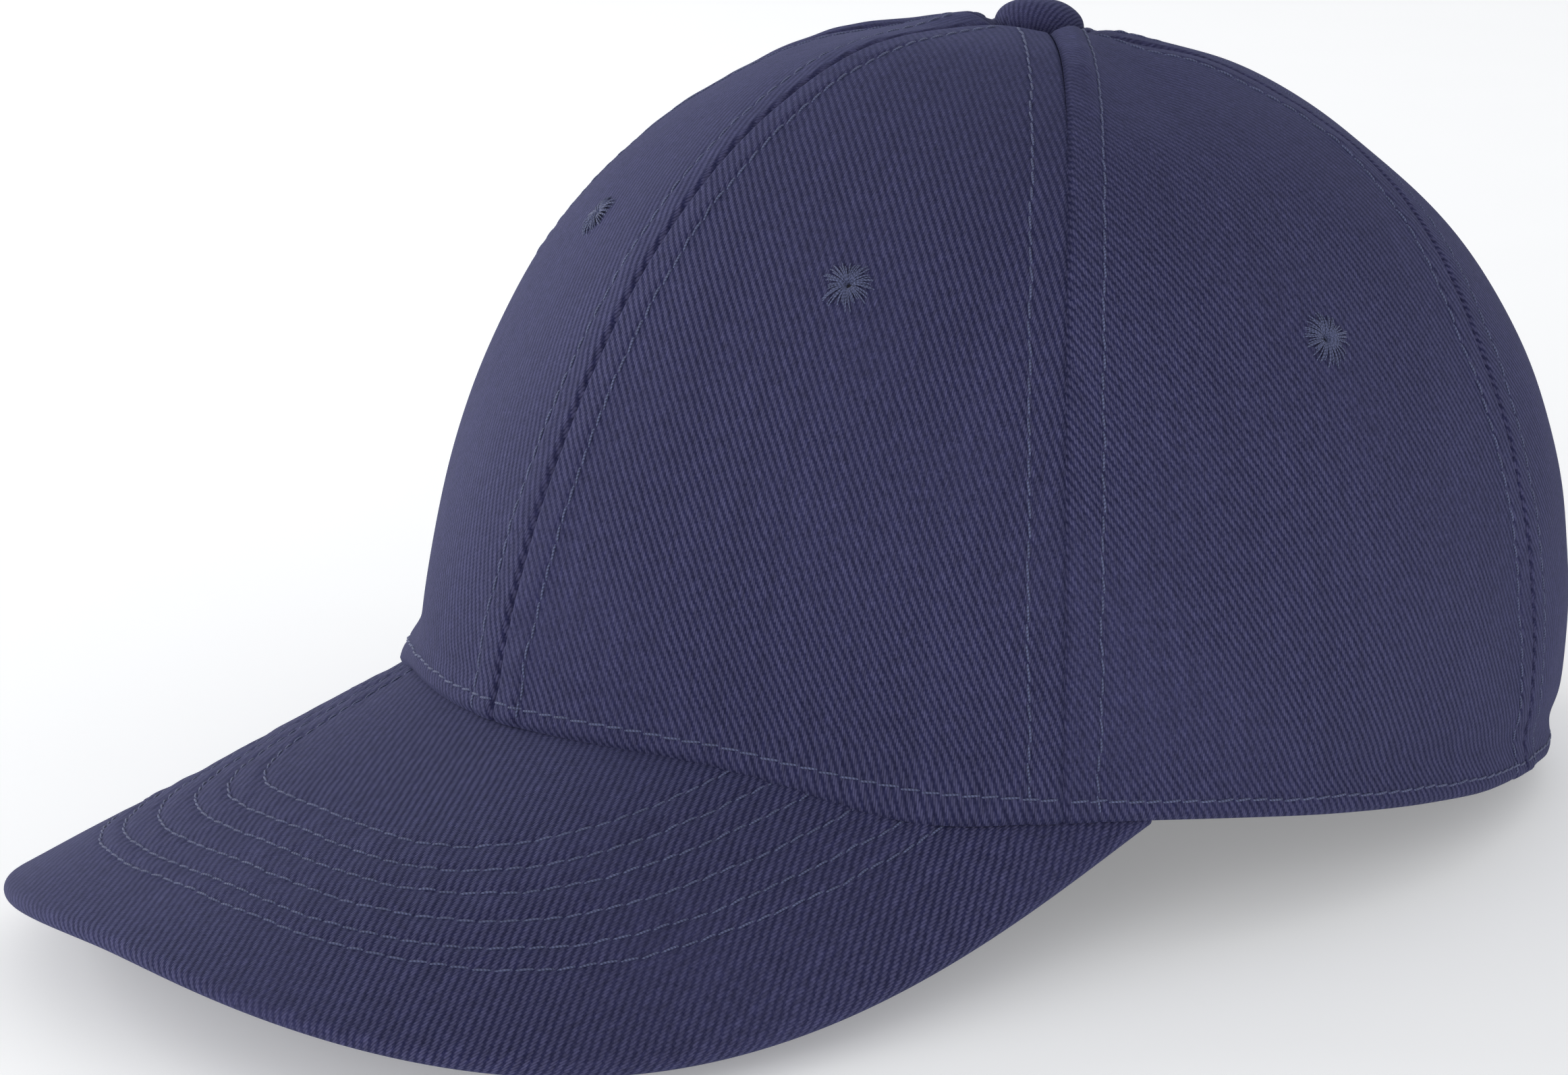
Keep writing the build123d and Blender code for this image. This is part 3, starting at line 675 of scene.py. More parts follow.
def arch_distance(points, margin=0.0):
    """Rough distance outside the rear opening; large in front."""
    x, z = points[..., 0], np.maximum(points[..., 2], 0)
    wide, tall, value = arch_measure(x, z, margin)
    slope = np.sqrt((x / wide ** 2) ** 2 + (z / tall ** 2) ** 2) / np.maximum(value, 1e-6)
    return np.where(points[..., 1] > 30, (value - 1) / np.maximum(slope, 1e-6), 1e3)


def corners(grid):
    """The four corners of each cell of a grid."""
    return grid[:-1, :-1], grid[:-1, 1:], grid[1:, 1:], grid[1:, :-1]


def fit_to_arch(angle, rise, margin=0.0):
    """Moves a grid's ragged border onto the rear opening's edge. Returns it and its cells outside."""
    points = crown_point(angle, rise)
    keep = sum(corners(arch_distance(points, margin))) > 0
    kept_about = corners(np.pad(keep, 1, mode="edge"))
    border = np.any(kept_about, axis=0) & ~np.all(kept_about, axis=0)
    if not border.any():
        return angle, rise, keep
    x, z = points[border][:, 0], np.maximum(points[border][:, 2], 0.0)
    wide, tall, value = arch_measure(x, z, margin)
    low = z < 2.0
    target_x = np.where(low, np.sign(x) * wide * np.sqrt(1 - (z / tall) ** 2), x / value)
    target_z = np.where(low, points[border][:, 2], z / value)
    to_angle, to_rise = back_place(target_x, target_z)
    angle, rise = angle.copy(), rise.copy()
    turned = np.where(angle[border] < 0, -360.0, 0.0)
    angle[border], rise[border] = to_angle + turned, to_rise
    return angle, rise, keep


def eyelet_centre(name):
    """Centre, normal, right and up of an eyelet, on the uneven cloth."""
    angle, height = (np.array(value) for value in EYELETS[name])
    rise = rise_at(angle, height)
    centre, normal = crown_point(angle, rise), crown_normal(angle, rise)
    right = unit(np.cross(np.array([0.0, 0.0, 1.0]), normal))
    return centre + normal * drape(centre), normal, right, np.cross(normal, right)


def crowded(count, pull):
    """Steps from 0 to 1, closer together at both ends."""
    part = np.linspace(0, 1, count)
    return part - pull * np.sin(2 * pi * part) / (2 * pi)


def along_rows(values, distance, wanted):
    """Each grid row's values where its distance reaches the wanted one."""
    return np.array([read_at(line, gap, wanted) for line, gap in zip(values, distance)])


def panel_grid(name):
    """Angle and rise of a panel's grid, and which of its cells are cloth."""
    first, last = (SEAMS[seam] for seam in PANELS[name])
    part = crowded(PANEL_COLUMNS, 0.6)[None, :]
    climb = crowded(PANEL_ROWS, 0.35)[:, None]
    start_angle = first[0] + (last[0] - first[0]) * part
    lift = HEM_LIFT - 0.5 * (1 - ease((np.abs(start_angle) - 45) / 15))
    start = rise_at(start_angle, hem_height(start_angle) + lift)
    rise = start + (TOP_RISE - start) * climb
    angle = seam_angle(first, rise) + (seam_angle(last, rise) - seam_angle(first, rise)) * part
    if name.startswith("back"):
        return fit_to_arch(angle, rise)
    return angle, rise, True


def arch_relief(points):
    """Height near the rear opening: a folded edge, a soft roll and two sunk stitch rows."""
    gap = arch_distance(points)
    folded = -0.45 * (1 - ease(gap / 0.9)) + 0.25 * bell(gap - 4.0, 3.0)
    return folded - 0.2 * sum(bell(gap - row_gap, 0.5) for row_gap in ARCH_ROWS)


def clear_of_arch(path, gap):
    """A path of points and normals, cut where it comes near the rear opening."""
    path = path[arch_distance(path[:, :3]) > gap]
    return path[:, :3], path[:, 3:]


def clear_of_eyelet(grid, name, radius):
    """Which cells of a grid lie further than this from an eyelet's centre."""
    middle = (grid[:-1, :-1] + grid[1:, 1:]) / 2
    return np.linalg.norm(middle - eyelet_centre(name)[0], axis=-1) >= radius


seam_rows = {name: [] for name in SEAMS}
hem_rows = []


def make_panel(name):
    """A crown panel. The stitch rows along its edges are noted for sewing."""
    angle, rise, keep = panel_grid(name)
    base, normal = crown_point(angle, rise), crown_normal(angle, rise)
    across, height = run_length(base, 1), run_length(base, 0)
    width = across[:, -1:]
    fade = ease((width - 12) / 22)
    relief = drape(base) * ease((width - 6) / 30)
    relief = relief + seam_relief(across, fade, base) + seam_relief(width - across, fade, base)
    relief = relief + hem_relief(height, angle) + top_relief(base, rise, across, width, name)
    if name.startswith("back"):
        relief = relief + arch_relief(base)
    points = flare(base + normal * relief[..., None], normal, height, angle)
    facing = grid_normals(points)
    keep = clear_of_eyelet(base, name, EYELET_HOLE) & keep
    place, hand = name.split("_")
    behind = "buckram_" + hand if place == "front" else "seam_tape_" + name
    cloth = np.stack([across - width / 2, height], -1)
    cloth_piece(
        "panel_" + name, "crown_" + name, points, facing, CLOTH, TWILL, keep, cloth, bare=base)

    both = np.concatenate([points, facing], -1)
    enough = (width[:, 0] > 2 * SEAM_ROW + 3) & (height[:, 0] > 1.0)
    sides = ((both, across), (both[:, ::-1], (width - across)[:, ::-1]))
    for seam, (values, gap) in zip(PANELS[name], sides):
        path = along_rows(values[enough], gap[enough], SEAM_ROW)
        seam_rows[seam].append(clear_of_arch(path, 9.0))
    hem = along_rows(both.transpose(1, 0, 2), height.T, HEM_ROW)
    hem_rows.append(clear_of_arch(hem[3:-3], ARCH_ROWS[0]))


for panel_name in PANELS:
    make_panel(panel_name)

seam_rows["rear"] += seam_rows.pop("rear_again")
for seam_name, row_paths in seam_rows.items():
    stitch_rows("stitches_seam_" + seam_name, row_paths, seed=5)
stitch_rows("stitches_hem", hem_rows, seed=6)


def arch_row(gap):
    """A stitch row round the rear opening."""
    turn = np.linspace(0.02, pi - 0.02, 240)
    foot = HEM_LIFT + 2
    angle, rise = back_place(
        (ARCH_HALF_WIDTH + gap) * np.cos(turn), foot + (ARCH_HEIGHT + gap - foot) * np.sin(turn))
    surface, normal = crown_point(angle, rise), crown_normal(angle, rise)
    return surface + normal * (drape(surface) - 0.05)[:, None], normal


stitch_rows("stitches_arch", [arch_row(gap) for gap in ARCH_ROWS], seed=7)


# ---- eyelets

EYELET_THREADS = 70
EYELET_REACH = 4.3
EYELET_THREAD_RADIUS = 0.105
# radius and height of the padded ring, from inside the hole to its outer edge
EYELET_RING = np.array([
    (0.70, -1.9), (0.50, -1.0), (0.52, -0.3), (0.80, -0.1),
    (1.5, 0.0), (2.1, -0.05), (2.5, -0.15), (2.7, -0.3)])


def make_eyelet(name, seed):
    """A star of satin stitches round a small hole, over a padded ring that lines the hole."""
    centre, normal, right, up = eyelet_centre(name)
    draw = np.random.RandomState(seed)
    turn = np.linspace(2 * pi, 0, 48)
    radius, height = EYELET_RING[:, None, :1], EYELET_RING[:, None, 1:]
    ring = centre + round_spokes(right, up, turn) * radius + normal * height
    cloth = np.stack(np.broadcast_arrays(EYELET_RING[:, :1], turn * 3.0), -1)
    shell(
        "eyelet_ring_" + name, ring, grid_normals(ring), 0.12, cloth,
        material=SHADED, replaces=["eyelet_" + name])

    count = EYELET_THREADS
    turn = (np.arange(count) + draw.uniform(-0.3, 0.3, count)) * 2 * pi / count
    reach = EYELET_REACH + draw.uniform(-1.3, 0.7, count)
    part = np.linspace(0, 1, 9)
    out = 0.45 + (reach[:, None] - 0.45) * part ** 1.1
    hump = 0.32 * np.sin(pi * np.clip(part * 1.15, 0, 1))
    lift = 0.16 + hump - 0.75 * bell(part, 0.10) - 0.62 * bell(part - 1, 0.14)
    lift = lift + draw.uniform(-0.12, 0.14, (count, 1))
    swirl = turn[:, None] + draw.uniform(-0.10, 0.10, (count, 1)) * part
    paths = centre + round_spokes(right, up, swirl) * out[..., None] + normal * lift[..., None]
    tubes(
        "eyelet_star_" + name, paths, np.broadcast_to(normal, paths.shape), EYELET_THREAD_RADIUS,
        material=THREAD)


for eyelet_seed, eyelet_name in enumerate(EYELETS, 31):
    make_eyelet(eyelet_name, eyelet_seed)


# ---- visor

ROLL = VISOR_THICK / 2
VISOR_ROWS = (14.7, 18.2, 23.2, 28.5, 33.3, 38.6)
VISOR_GRAIN = radians(4.0)
ROLL_CREASE = radians(-48)
# for each face, how deep it lies, how deep its stitches sink, and its rows of points round the edge
VISOR_FACES = {1: (0, 0.24, 12), -1: (VISOR_THICK, 0.12, 5)}


def visor_normal(x):
    """Upward normal of the visor at a distance from its middle."""
    fall = (arch_drop(x + 0.1) - arch_drop(x - 0.1)) / 0.2
    return unit(np.stack(np.broadcast_arrays(fall, -np.tan(radians(VISOR_SLOPE)), 1.0), -1))


def visor_edge(sweep):
    s, c = np.sin(np.radians(sweep)), np.cos(np.radians(sweep))
    x = CORNER_X * power(s, VISOR_SQUARE_X) + VISOR_FLARE * np.sin(np.radians(2 * sweep))
    y = CORNER_Y - VISOR_REACH * np.abs(c) ** VISOR_SQUARE_Y
    return np.stack([x, y], -1)


EDGE = even_path(visor_edge(np.linspace(-90, 90, 6001)), 1201)
EDGE_IN = unit(np.gradient(EDGE, axis=0))[:, ::-1] * np.array([-1.0, 1.0])


def edge_distance(plan):
    """Distance inside the visor's edge, in plan."""
    flat = plan.reshape(-1, 2)
    nearest = np.full(len(flat), 1e9)
    for chunk in range(0, len(EDGE), 100):
        gap = np.linalg.norm(flat[:, None] - EDGE[None, chunk:chunk + 100], axis=-1).min(1)
        nearest = np.minimum(nearest, gap)
    return nearest.reshape(plan.shape[:-1])


def quilt(distance, plan, depth):
    """Sunk stitch rows, the cloth puffed between them, and puckers."""
    solid = np.concatenate([plan, 0 * plan[..., :1]], -1)
    sunk = -depth * sum(bell(distance - row_gap, 0.55) for row_gap in VISOR_ROWS)
    edges = np.array(VISOR_ROWS)
    band = np.clip(np.searchsorted(edges, distance) - 1, 0, len(edges) - 2)
    part = np.clip((distance - edges[band]) / (edges[band + 1] - edges[band]), 0, 1)
    puff = 0.13 * np.sin(pi * part)
    inside = ease((distance - 11) / 4) * (1 - ease((distance - 40) / 4))
    pucker = waves(solid, 5.0, 41, 20) * 0.05 * inside
    slow = waves(solid, 50, 42) * 0.14 * ease(distance / 12)
    return sunk + puff + pucker + slow


def hem_on_visor(count):
    angle = np.linspace(-VISOR_CORNER + 1.5, VISOR_CORNER - 1.5, 801)
    scale = 1 - VISOR_TUCK / HEM_HALF_LENGTH
    return even_path(np.stack(hem_plan(angle), -1) * scale, count)


def visor_surface(plan, depth):
    """Points on the visor, this deep below its upper surface, measured square to it."""
    x, y = plan[..., 0], plan[..., 1]
    top = np.stack([x, y, visor_height(x, y)], -1)
    return top - visor_normal(x) * depth


def visor_frames(columns):
    """Along the visor's edge: the roll's centre in plan, in space, and the directions round it."""
    pick = np.linspace(0, len(EDGE) - 1, columns)
    at = np.arange(len(EDGE))
    inward = unit(read_at(EDGE_IN, at, pick))
    core = read_at(EDGE, at, pick) + inward * ROLL
    normal = visor_normal(core[:, 0])
    level = np.concatenate([-inward, 0 * inward[:, :1]], -1)
    outward = unit(level - normal * (level * normal).sum(-1, keepdims=True))
    return core, visor_surface(core, ROLL), normal, outward, inward


def visor_cover(name, node, face, columns=420, rows=130):
    """The upper cloth (face 1) or the lower one (face -1). They meet in a crease low on the rolled edge."""
    core, centre, normal, outward, inward = visor_frames(columns)
    hem = hem_on_visor(columns)
    part = np.linspace(0, 1, rows)[:, None, None]
    plan = hem + (core - hem) * part
    depth, stitch_depth, roll_rows = VISOR_FACES[face]
    bare = visor_surface(plan, depth)
    direction = visor_normal(plan[..., 0]) * face
    flat = bare + direction * quilt(edge_distance(plan), plan, stitch_depth)[..., None]
    turns = np.linspace(pi / 2 * face, ROLL_CREASE, roll_rows + 1)[1:, None, None]
    spoke = normal * np.sin(turns) + outward * np.cos(turns)
    pinch = 0.22 * bell((turns - ROLL_CREASE) / radians(14), 1.0)
    points = np.concatenate([flat, centre + spoke * (ROLL - pinch)])
    facing = np.concatenate([direction, spoke])
    rolled = core - inward * ROLL * np.abs(pi / 2 * face - turns)
    grain = np.array([
        [np.cos(VISOR_GRAIN), -np.sin(VISOR_GRAIN)],
        [np.sin(VISOR_GRAIN), np.cos(VISOR_GRAIN)]])
    cloth = np.concatenate([plan, rolled]) @ grain
    order = slice(None, None, -face)
    bare = np.concatenate([bare, centre + spoke * ROLL])
    reach = run_length(bare, 0)[-1].max()
    wide = np.linalg.norm(bare[:, 0] - bare[:, -1], axis=-1).max()
    cloth_piece(
        name, node, points[order], facing[order], CLOTH, TWILL, None, cloth[order],
        bare=bare, flat=(wide * 1.12, reach * 1.25))


visor_cover("visor_cover_top", "visor_top", 1)
visor_cover("visor_cover_under", "visor_bottom", -1)


def visor_row(gap, face):
    """A stitch row parallel to the visor's edge, from hem to hem."""
    depth, stitch_depth, _ = VISOR_FACES[face]
    plan = EDGE + EDGE_IN * gap
    hem_x, hem_y = hem_plan(np.linspace(-VISOR_CORNER, VISOR_CORNER, 721))
    front = plan[:, 1] < np.interp(plan[:, 0], hem_x, hem_y) - 0.2
    plan = plan[front & (edge_distance(plan) > gap - 0.02)]
    relief = quilt(np.full(len(plan), gap), plan, stitch_depth)
    normal = visor_normal(plan[:, 0]) * face
    return visor_surface(plan, depth) + normal * relief[:, None], normal


for face_name, face, row_seed in (("top", 1, 8), ("under", -1, 9)):
    stitch_rows("stitches_visor_" + face_name, [visor_row(gap, face) for gap in VISOR_ROWS], row_seed)


# ---- button

BUTTON_RADIUS = 7.4
BUTTON_HEIGHT = 6.4
BUTTON_SINK = 1.8


def make_button():
    """A cloth dome drawn in under its edge in small gathers."""
    columns, rows = 192, 60
    turn = np.linspace(0, 2 * pi, columns)[None, :]
    tip = np.radians(np.linspace(-35, 89, rows))[:, None]
    low = 1 - ease((np.degrees(tip) + 20) / 40)
    gather = (0.13 * np.sin(17 * turn + 1.3 * np.sin(3 * turn)) + 0.06 * np.sin(29 * turn + 1)) * low
    radius = BUTTON_RADIUS * power(np.cos(tip), 0.8) - 0.05 + gather
    height = BUTTON_HEIGHT * (0.36 + 0.64 * np.sin(tip)) + CROWN_HEIGHT + 0.15 - BUTTON_SINK + 0 * turn
    points = np.stack([radius * np.cos(turn), radius * np.sin(turn), height], -1)
    points[..., 2] += waves(points, 7, 51) * 0.08
    points[:, -1] = points[:, 0]
    fold = BUTTON_RADIUS * (pi / 2 - tip)
    cloth = np.stack([fold * np.cos(turn), fold * np.sin(turn)], -1)
    made = shell(
        "button_cloth", points, grid_normals(points), CLOTH * 0.9, cloth,
        material=TWILL, replaces=["button_cover"])


make_button()


# ---- linings

BAND_TOP = 34.0
BAND_BOTTOM = 1.3
# how deep the padding lies behind the crown's surface, in front and at the back
PADDING_FRONT = 1.8
PADDING_BACK = 5.0
PADDING_THICKNESS = 0.6
LABEL_DEPTH = PADDING_BACK + 1.2 + CLOTH + 0.15
LABEL_THICKNESS = 0.4
TAPE_HALF_WIDTH = 9.0
TAPE_ACROSS = np.linspace(-TAPE_HALF_WIDTH, TAPE_HALF_WIDTH, 41)
TAPE_THICKNESS = 0.5
TAPE_FOOT = 35.5
TAPE_DEPTH = 2.0
TAPE_TOP = 0.885
CENTRE_TAPE_DEPTH = 2.6
CENTRE_TAPE_TOP = 0.975
STIFFENER_DEPTH = 1.15
STIFFENER_THICKNESS = 0.35
STIFFENER_TOP = 0.86
STIFFENER_HOLE = 2.6
FACING_DEPTH = 1.0
FACING_FOOT = 24.0
FACING_EDGES = (0.3, 8.0)
FACING_THICKNESS = 0.45
# a point inside the crown, which tells the centre tape's faces apart
INSIDE = np.array([0.0, 0.0, 20.0])


def crown_strip(angle, height, depth, margin=None):
    """Grid, normals and cells of a lining that follows the crown from inside."""
    angle, rise, keep = angle + 0 * height, rise_at(angle, height), None
    if margin is not None:
        angle, rise, keep = fit_to_arch(angle, rise, margin)
    return *behind_crown(angle, rise, depth), keep


def padding_depth(angle):
    return PADDING_FRONT + (PADDING_BACK - PADDING_FRONT) * ease((np.abs(angle) - 94.0) / 34.0)


def band_grid(top, columns, rows, bottom):
    angle = np.linspace(-172, 172, columns)[None, :]
    part = np.linspace(0, 1, rows)[:, None]
    height = hem_height(angle) * (1 - part) + bottom + (top - bottom) * part
    return angle, height


def make_band():
    """The sweatband. Its lower edge closes on the crown."""
    angle, height = band_grid(BAND_TOP, 520, 40, BAND_BOTTOM)
    seat = crown_point(angle + 0 * height, rise_at(angle, height))
    depth = padding_depth(angle) + CLOTH + waves(seat, 30, 61) * 0.12
    above_edge = height - hem_height(angle) - BAND_BOTTOM
    depth = 1.0 + (depth - 1.0) * ease(above_edge / 5.0)
    base, normal, keep = crown_strip(angle, height, depth, 1.5)
    cloth_piece("band_cloth", "sweatband", base, normal, CLOTH, COTTON, keep)
    face = base - normal * CLOTH
    sewn = []
    for line in (4, -4):
        clear = arch_distance(face[line], 4.0) > 0
        sewn.append((face[line][clear], -normal[line][clear]))
    stitch_rows("stitches_band", sewn, seed=10)


def make_padding():
    angle, height = band_grid(BAND_TOP - 2, 360, 24, 6.0)
    base, normal, keep = crown_strip(angle, height, padding_depth(angle), 4.0)
    padding = shell(
        "band_padding", base, normal, PADDING_THICKNESS, laid_flat(base), keep,
        material=FLEECE, replaces=["sweatband_padding"])


def make_label():
    """A blank label on the sweatband, sewn all round."""
    angle = np.linspace(-152, -134, 60)[None, :]
    height = np.linspace(9, 27, 60)[:, None] + 0 * angle
    base, normal, _ = crown_strip(angle, height, LABEL_DEPTH)
    cloth_piece("label_cloth", "size_label", base, normal, LABEL_THICKNESS, SATIN)
    outline, facing = (
        np.concatenate([grid[3, 3:-3], grid[3:-3, -4], grid[-4, 3:-3][::-1], grid[3:-3, 3][::-1]])
        for grid in (base - normal * LABEL_THICKNESS, -normal))
    stitch_rows("stitches_label", [(outline, facing)], pitch=2.2, radius=0.14, seed=12)


def make_stiffener(side, sign):
    """Open-weave net behind a front panel."""
    part = np.linspace(0.02, 0.98, 70)[None, :]
    climb = np.linspace(0, 1, 90)[:, None]
    seam = SEAMS["side_left"]
    start_angle = seam[0] * part
    start = rise_at(start_angle, hem_height(start_angle) + 3.0)
    rise = start + (STIFFENER_TOP - start) * climb
    angle = sign * seam_angle(seam, rise) * part
    angle, rise = angle[:, ::sign], rise[:, ::sign]
    base, normal = behind_crown(angle, rise, STIFFENER_DEPTH)
    keep = clear_of_eyelet(base, "front_" + side, STIFFENER_HOLE)
    cloth_piece(
        "stiffener_" + side, "buckram_" + side, base, normal, STIFFENER_THICKNESS, NET,
        keep)


make_band()
make_padding()
make_label()
make_stiffener("left", 1)
make_stiffener("right", -1)


def sew_tape(place, base, facing, seed):
    """Binding tape down the inside of a seam, with the seam's two stitch rows through it."""
    cloth = np.stack([TAPE_ACROSS + 0 * base[..., 0], run_length(base, 0)], -1)
    cloth_piece(
        "tape_" + place, "seam_tape_" + place, base, facing, TAPE_THICKNESS, TAPE, cloth=cloth)
    inner = base - facing * TAPE_THICKNESS
    columns = [np.abs(TAPE_ACROSS - gap).argmin() for gap in (-SEAM_ROW, SEAM_ROW)]
    sewn = [(inner[:, column], -facing[:, column]) for column in columns]
    stitch_rows("stitches_tape_" + place, sewn, seed)


def make_side_tape(place, side, sign):
    """Tape behind a seam of the crown's side or back, bowed over the seam's allowance."""
    seam = SEAMS[place + "_left"]
    rise = np.linspace(rise_at(np.array(seam[0]), TAPE_FOOT), TAPE_TOP, 160)
    angle = sign * seam_angle(seam, rise)
    centre, normal = behind_crown(angle, rise, TAPE_DEPTH)
    across = unit(np.cross(unit(np.gradient(centre, axis=0)), normal))
    base = centre[:, None] + across[:, None] * TAPE_ACROSS[:, None]
    crown = 0.35 * (1 - (TAPE_ACROSS / TAPE_HALF_WIDTH) ** 4) - 0.15
    base = base + normal[:, None] * (crown + waves(base, 16, 71) * 0.08)[..., None]
    sew_tape(place + "_" + side, base, grid_normals(base), 13)


def make_centre_tape():
    """Tape over the top, from the front's foot to above the rear opening."""
    line = []
    for angle, low, count in ((0.0, TAPE_FOOT, 150), (180.0, ARCH_HEIGHT + 10.0, 110)):
        rise = np.linspace(float(rise_at(np.array(angle), low)), CENTRE_TAPE_TOP, count)
        line.append(behind_crown(angle + 0 * rise, rise, CENTRE_TAPE_DEPTH)[0])
    line = np.concatenate([line[0], line[1][-2::-1]])
    line[:, 0] = 0
    line = even_path(line, 260)
    facing = unit(np.cross(np.gradient(line, axis=0), np.array([-1.0, 0.0, 0.0])))
    facing = facing * np.sign((facing * (line - INSIDE)).sum(-1, keepdims=True))
    base = line[:, None] + np.array([1.0, 0.0, 0.0]) * TAPE_ACROSS[:, None]
    sew_tape("centre", base, np.broadcast_to(facing[:, None], base.shape), 14)


def make_facing():
    """The turned facing round the inside of the rear opening."""
    low = np.arcsin(FACING_FOOT / (ARCH_HEIGHT + FACING_EDGES[1]))
    turn = np.linspace(low, pi - low, 200)[None, :]
    gap = np.linspace(*FACING_EDGES, 26)[:, None]
    angle, rise = back_place((ARCH_HALF_WIDTH + gap) * np.cos(turn), (ARCH_HEIGHT + gap) * np.sin(turn))
    base, normal = behind_crown(angle, rise, FACING_DEPTH)
    cloth_piece("facing_cloth", "arch_facing", base, normal, FACING_THICKNESS, TAPE)


for side, sign in (("left", 1), ("right", -1)):
    for place in ("side", "back"):
        make_side_tape(place, side, sign)
make_centre_tape()
make_facing()


# ---- strap, tab and buckle

STRAP_CENTRE_Y = 12.0
STRAP_RADIUS = 88.4
STRAP_LEAN = 0.165
STRAP_THICKNESS = 1.4
STRAP_BOTTOM = 2.0
STRAP_WIDTH = 19.0
STRAP_ROOT = -40.0
STRAP_TAIL = 27.5
STRAP_CORNER = 0.55
STRAP_ROW = 2.2
STRAP_MM_PER_DEGREE = 1.5
TAB_THICKNESS = 0.4


def strap_point(angle, height, depth):
    """A point on the strap's cone; the angle is from the back, to the wearer's left."""
    turn = np.radians(angle)
    radius = STRAP_RADIUS - STRAP_LEAN * height - depth
    return np.stack(np.broadcast_arrays(
        radius * np.sin(turn), STRAP_CENTRE_Y + radius * np.cos(turn), height), -1)


def strap_outward(points):
    """The level direction out from the strap's axis."""
    return unit((points - np.array([0, STRAP_CENTRE_Y, 0])) * np.array([1, 1, 0]))


def strap_section():
    """Height and depth round the strap's section, from its middle: a slot with rounded corners."""
    corner = STRAP_CORNER
    ring = []
    for side, face, start in ((1, 1, 0), (-1, 1, 90), (-1, -1, 180), (1, -1, 270)):
        for turn in np.radians(np.linspace(start, start + 90, 7)):
            ring.append((
                side * (STRAP_WIDTH / 2 - corner) + corner * np.cos(turn),
                face * (STRAP_THICKNESS / 2 - corner) + corner * np.sin(turn)))
    return even_path(np.array(ring + ring[:1]), 90)[:-1]


def make_strap():
    """A doubled strap of the cap's twill: a flat tube with rounded edges and closed ends."""
    steps = 240
    half, thick = STRAP_WIDTH / 2, STRAP_THICKNESS / 2
    ring = strap_section()
    angle = np.linspace(STRAP_ROOT, STRAP_TAIL, steps)[:, None]
    points = strap_point(angle, STRAP_BOTTOM + half + ring[:, 0], thick - ring[:, 1])
    sunk = 0.10 * bell(np.abs(ring[:, 0]) - (half - STRAP_ROW), 0.4) * np.sign(ring[:, 1])
    points = points - strap_outward(points) * sunk[:, None]
    ends = bell((angle - STRAP_TAIL) / 0.35, 1.0) + bell((angle - STRAP_ROOT) / 0.35, 1.0)
    spine = points.mean(1, keepdims=True)
    squeeze = np.stack(np.broadcast_arrays(1 - 0.55 * ends, 1 - 0.55 * ends, 1.0), -1)
    points = spine + (points - spine) * squeeze
    count = len(ring)
    index = np.arange(steps * count).reshape(steps, count)
    after = np.roll(index, -1, axis=1)
    faces = np.stack([index[:-1], index[1:], after[1:], after[:-1]], -1).reshape(-1, 4).tolist()
    faces += [index[0].tolist(), index[-1, ::-1].tolist()]
    perimeter = np.linspace(0, 2 * STRAP_WIDTH + 2 * STRAP_THICKNESS, count)
    cloth = np.stack(np.broadcast_arrays(angle * STRAP_MM_PER_DEGREE, perimeter - 300), -1)
    made = make_object(
        "strap_cloth", points.reshape(-1, 3), faces, cloth.reshape(-1, 2),
        material=TWILL, body="strap", replaces=["strap"])

    low, high = STRAP_BOTTOM + STRAP_ROW, STRAP_BOTTOM + STRAP_WIDTH - STRAP_ROW
    angle = np.linspace(STRAP_ROOT + 1.5, STRAP_TAIL - 1.5, 300)
    lines = [strap_point(angle, height, 0.08) for height in (low, high)]
    lines.append(strap_point(STRAP_TAIL - 1.5, np.linspace(low, high, 40), 0.08))
    sewn = [(line, strap_outward(line)) for line in lines]
    stitch_rows("stitches_strap", sewn, body="strap", pitch=2.8, radius=0.16, seed=15)


def rounded(path, times=3):
    """Cuts an open path's corners until it is smooth."""
    for _ in range(times):
        cut = np.empty((2 * len(path) - 2, path.shape[1]))
        cut[0::2] = 0.75 * path[:-1] + 0.25 * path[1:]
        cut[1::2] = 0.25 * path[:-1] + 0.75 * path[1:]
        path = np.concatenate([path[:1], cut, path[-1:]])
    return path


def make_tab():
    """The short folded tab that holds the buckle's bar."""
    path = rounded(np.array([
        (25.4, 2.45), (20.2, 2.5), (19.75, 3.6), (17.1, 3.62), (16.95, 2.0), (18.0, 1.95), (25.4, 1.93)]))
    to_mm = np.array([STRAP_MM_PER_DEGREE, 1.0])
    path = even_path(path * to_mm, 110) / to_mm
    height = np.linspace(STRAP_BOTTOM + 2.0, STRAP_BOTTOM + 17.0, 44)
    base = strap_point(path[:, :1], height, path[:, 1:])
    facing = grid_normals(base)
    base = base + facing * TAB_THICKNESS / 2
    cloth = np.stack(np.broadcast_arrays(height, run_length(base, 0) - 500), -1)
    cloth_piece(
        "tab_cloth", "buckle_tab", base, facing, TAB_THICKNESS, TWILL,
        cloth=cloth)


make_strap()
make_tab()


# ---- CAD pieces that stay, with their finishes

FINISHES = {
    "buckle_frame": BRASS, "buckle_pin": BRASS, "buckle_lever": BRASS,
    "button_shell": STEEL, "button_tack": STEEL, "button_washer": STEEL, "visor_board": BOARD,
}
for node_name, finish in FINISHES.items():
    slots = frame["nodes"][node_name].data.materials
    slots.clear()
    slots.append(finish)


# ---- camera, floor and light

CAMERA_AZIMUTH, CAMERA_ELEVATION, CAMERA_ROLL = (radians(v) for v in (47.1218, 8.7104, 5.2452))
CAMERA_DISTANCE = 742.0
CAMERA_TARGET = np.array([-70.7591, 19.1479, 15.0754])
LENS = 92.42


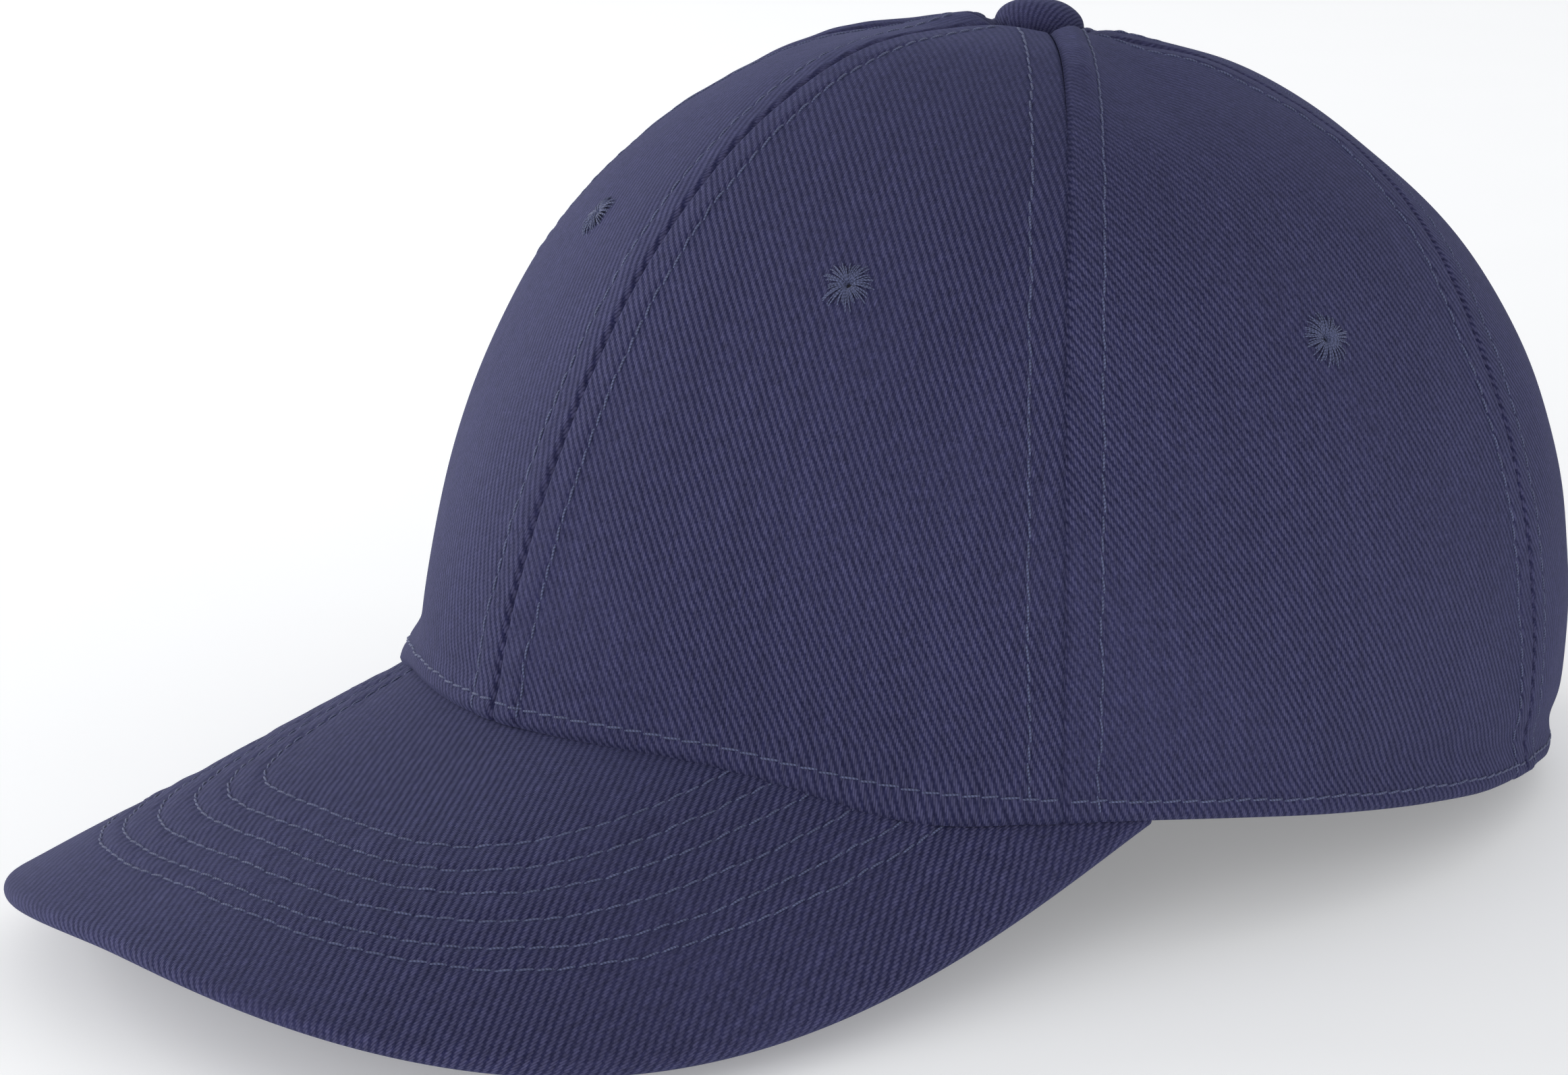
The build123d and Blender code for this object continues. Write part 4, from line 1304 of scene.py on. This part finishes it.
def make_camera():
    """The camera in the hem frame: azimuth from the front towards the left, elevation, and roll."""
    sa, ca = np.sin(CAMERA_AZIMUTH), np.cos(CAMERA_AZIMUTH)
    se, ce = np.sin(CAMERA_ELEVATION), np.cos(CAMERA_ELEVATION)
    back = np.array([sa * ce, -ca * ce, se])
    right = np.array([ca, sa, 0.0])
    up = np.cross(back, right)
    sr, cr = np.sin(CAMERA_ROLL), np.cos(CAMERA_ROLL)
    axes = np.stack([cr * right + sr * up, -sr * right + cr * up, back])
    data = bpy.data.cameras.new("camera")
    data.sensor_fit = "HORIZONTAL"
    data.sensor_width = 36.0
    data.lens = LENS
    data.clip_start = 0.01
    data.clip_end = 50.0
    camera = put("camera", data)
    turned = Matrix((axes @ TURN.T).T.tolist()).to_4x4()
    turned.translation = Vector(row(CAMERA_TARGET + back * CAMERA_DISTANCE))
    camera.matrix_world = turned
    bpy.context.scene.camera = camera


make_camera()


FLOOR_SIZE = 25.0
FLOOR_DROP = 0.0006


def make_floor():
    """A pale floor just under the cap, wide enough to fill the photo's view."""
    mesh = bpy.data.meshes.new("floor")
    corners_at = [(x * FLOOR_SIZE, y * FLOOR_SIZE, 0) for x, y in ((-1, -1), (1, -1), (1, 1), (-1, 1))]
    mesh.from_pydata(corners_at, [], [(0, 1, 2, 3)])
    material, shader = new_material("pale_floor")
    speck = shader.noise(shader.place(), 0.02, 2.0)
    shader.set(Base_Color=shader.mix(speck, (0.93, 0.93, 0.93), (0.95, 0.95, 0.95)))
    shader.set(Roughness=0.9, Specular_IOR_Level=0.1, Emission_Color=(1.0, 1.0, 1.0), Emission_Strength=0.22)
    mesh.materials.append(material)
    floor = put("floor", mesh)
    floor.location.z = -FLOOR_DROP


make_floor()


def area_light(name, place, target, size, watts):
    data = bpy.data.lights.new(name, "AREA")
    data.shape = "DISK"
    data.size = size
    data.energy = watts
    light = put(name, data)
    light.location = place
    light.rotation_mode = "QUATERNION"
    light.rotation_quaternion = (Vector(target) - Vector(place)).to_track_quat("-Z", "Y")


area_light("left", (-1.7, -0.5, 0.45), (0, 0, 0.05), 1.0, 17)
area_light("front", (0.9, -1.6, 0.5), (0, 0, 0.05), 1.2, 10)


def make_world():
    """Even white surroundings, a little dimmer overhead."""
    world = bpy.data.worlds.new("studio")
    bpy.context.scene.world = world
    shader = Shader(world, "Background")
    height = shader.split(shader.node("ShaderNodeTexCoord", {}, "Generated"))[2]
    shader.set(Color=(0.96, 0.975, 1.0), Strength=shader.span(height, 0.05, 0.9, 1.2, 0.45))


make_world()
bpy.context.scene.view_settings.view_transform = "Standard"
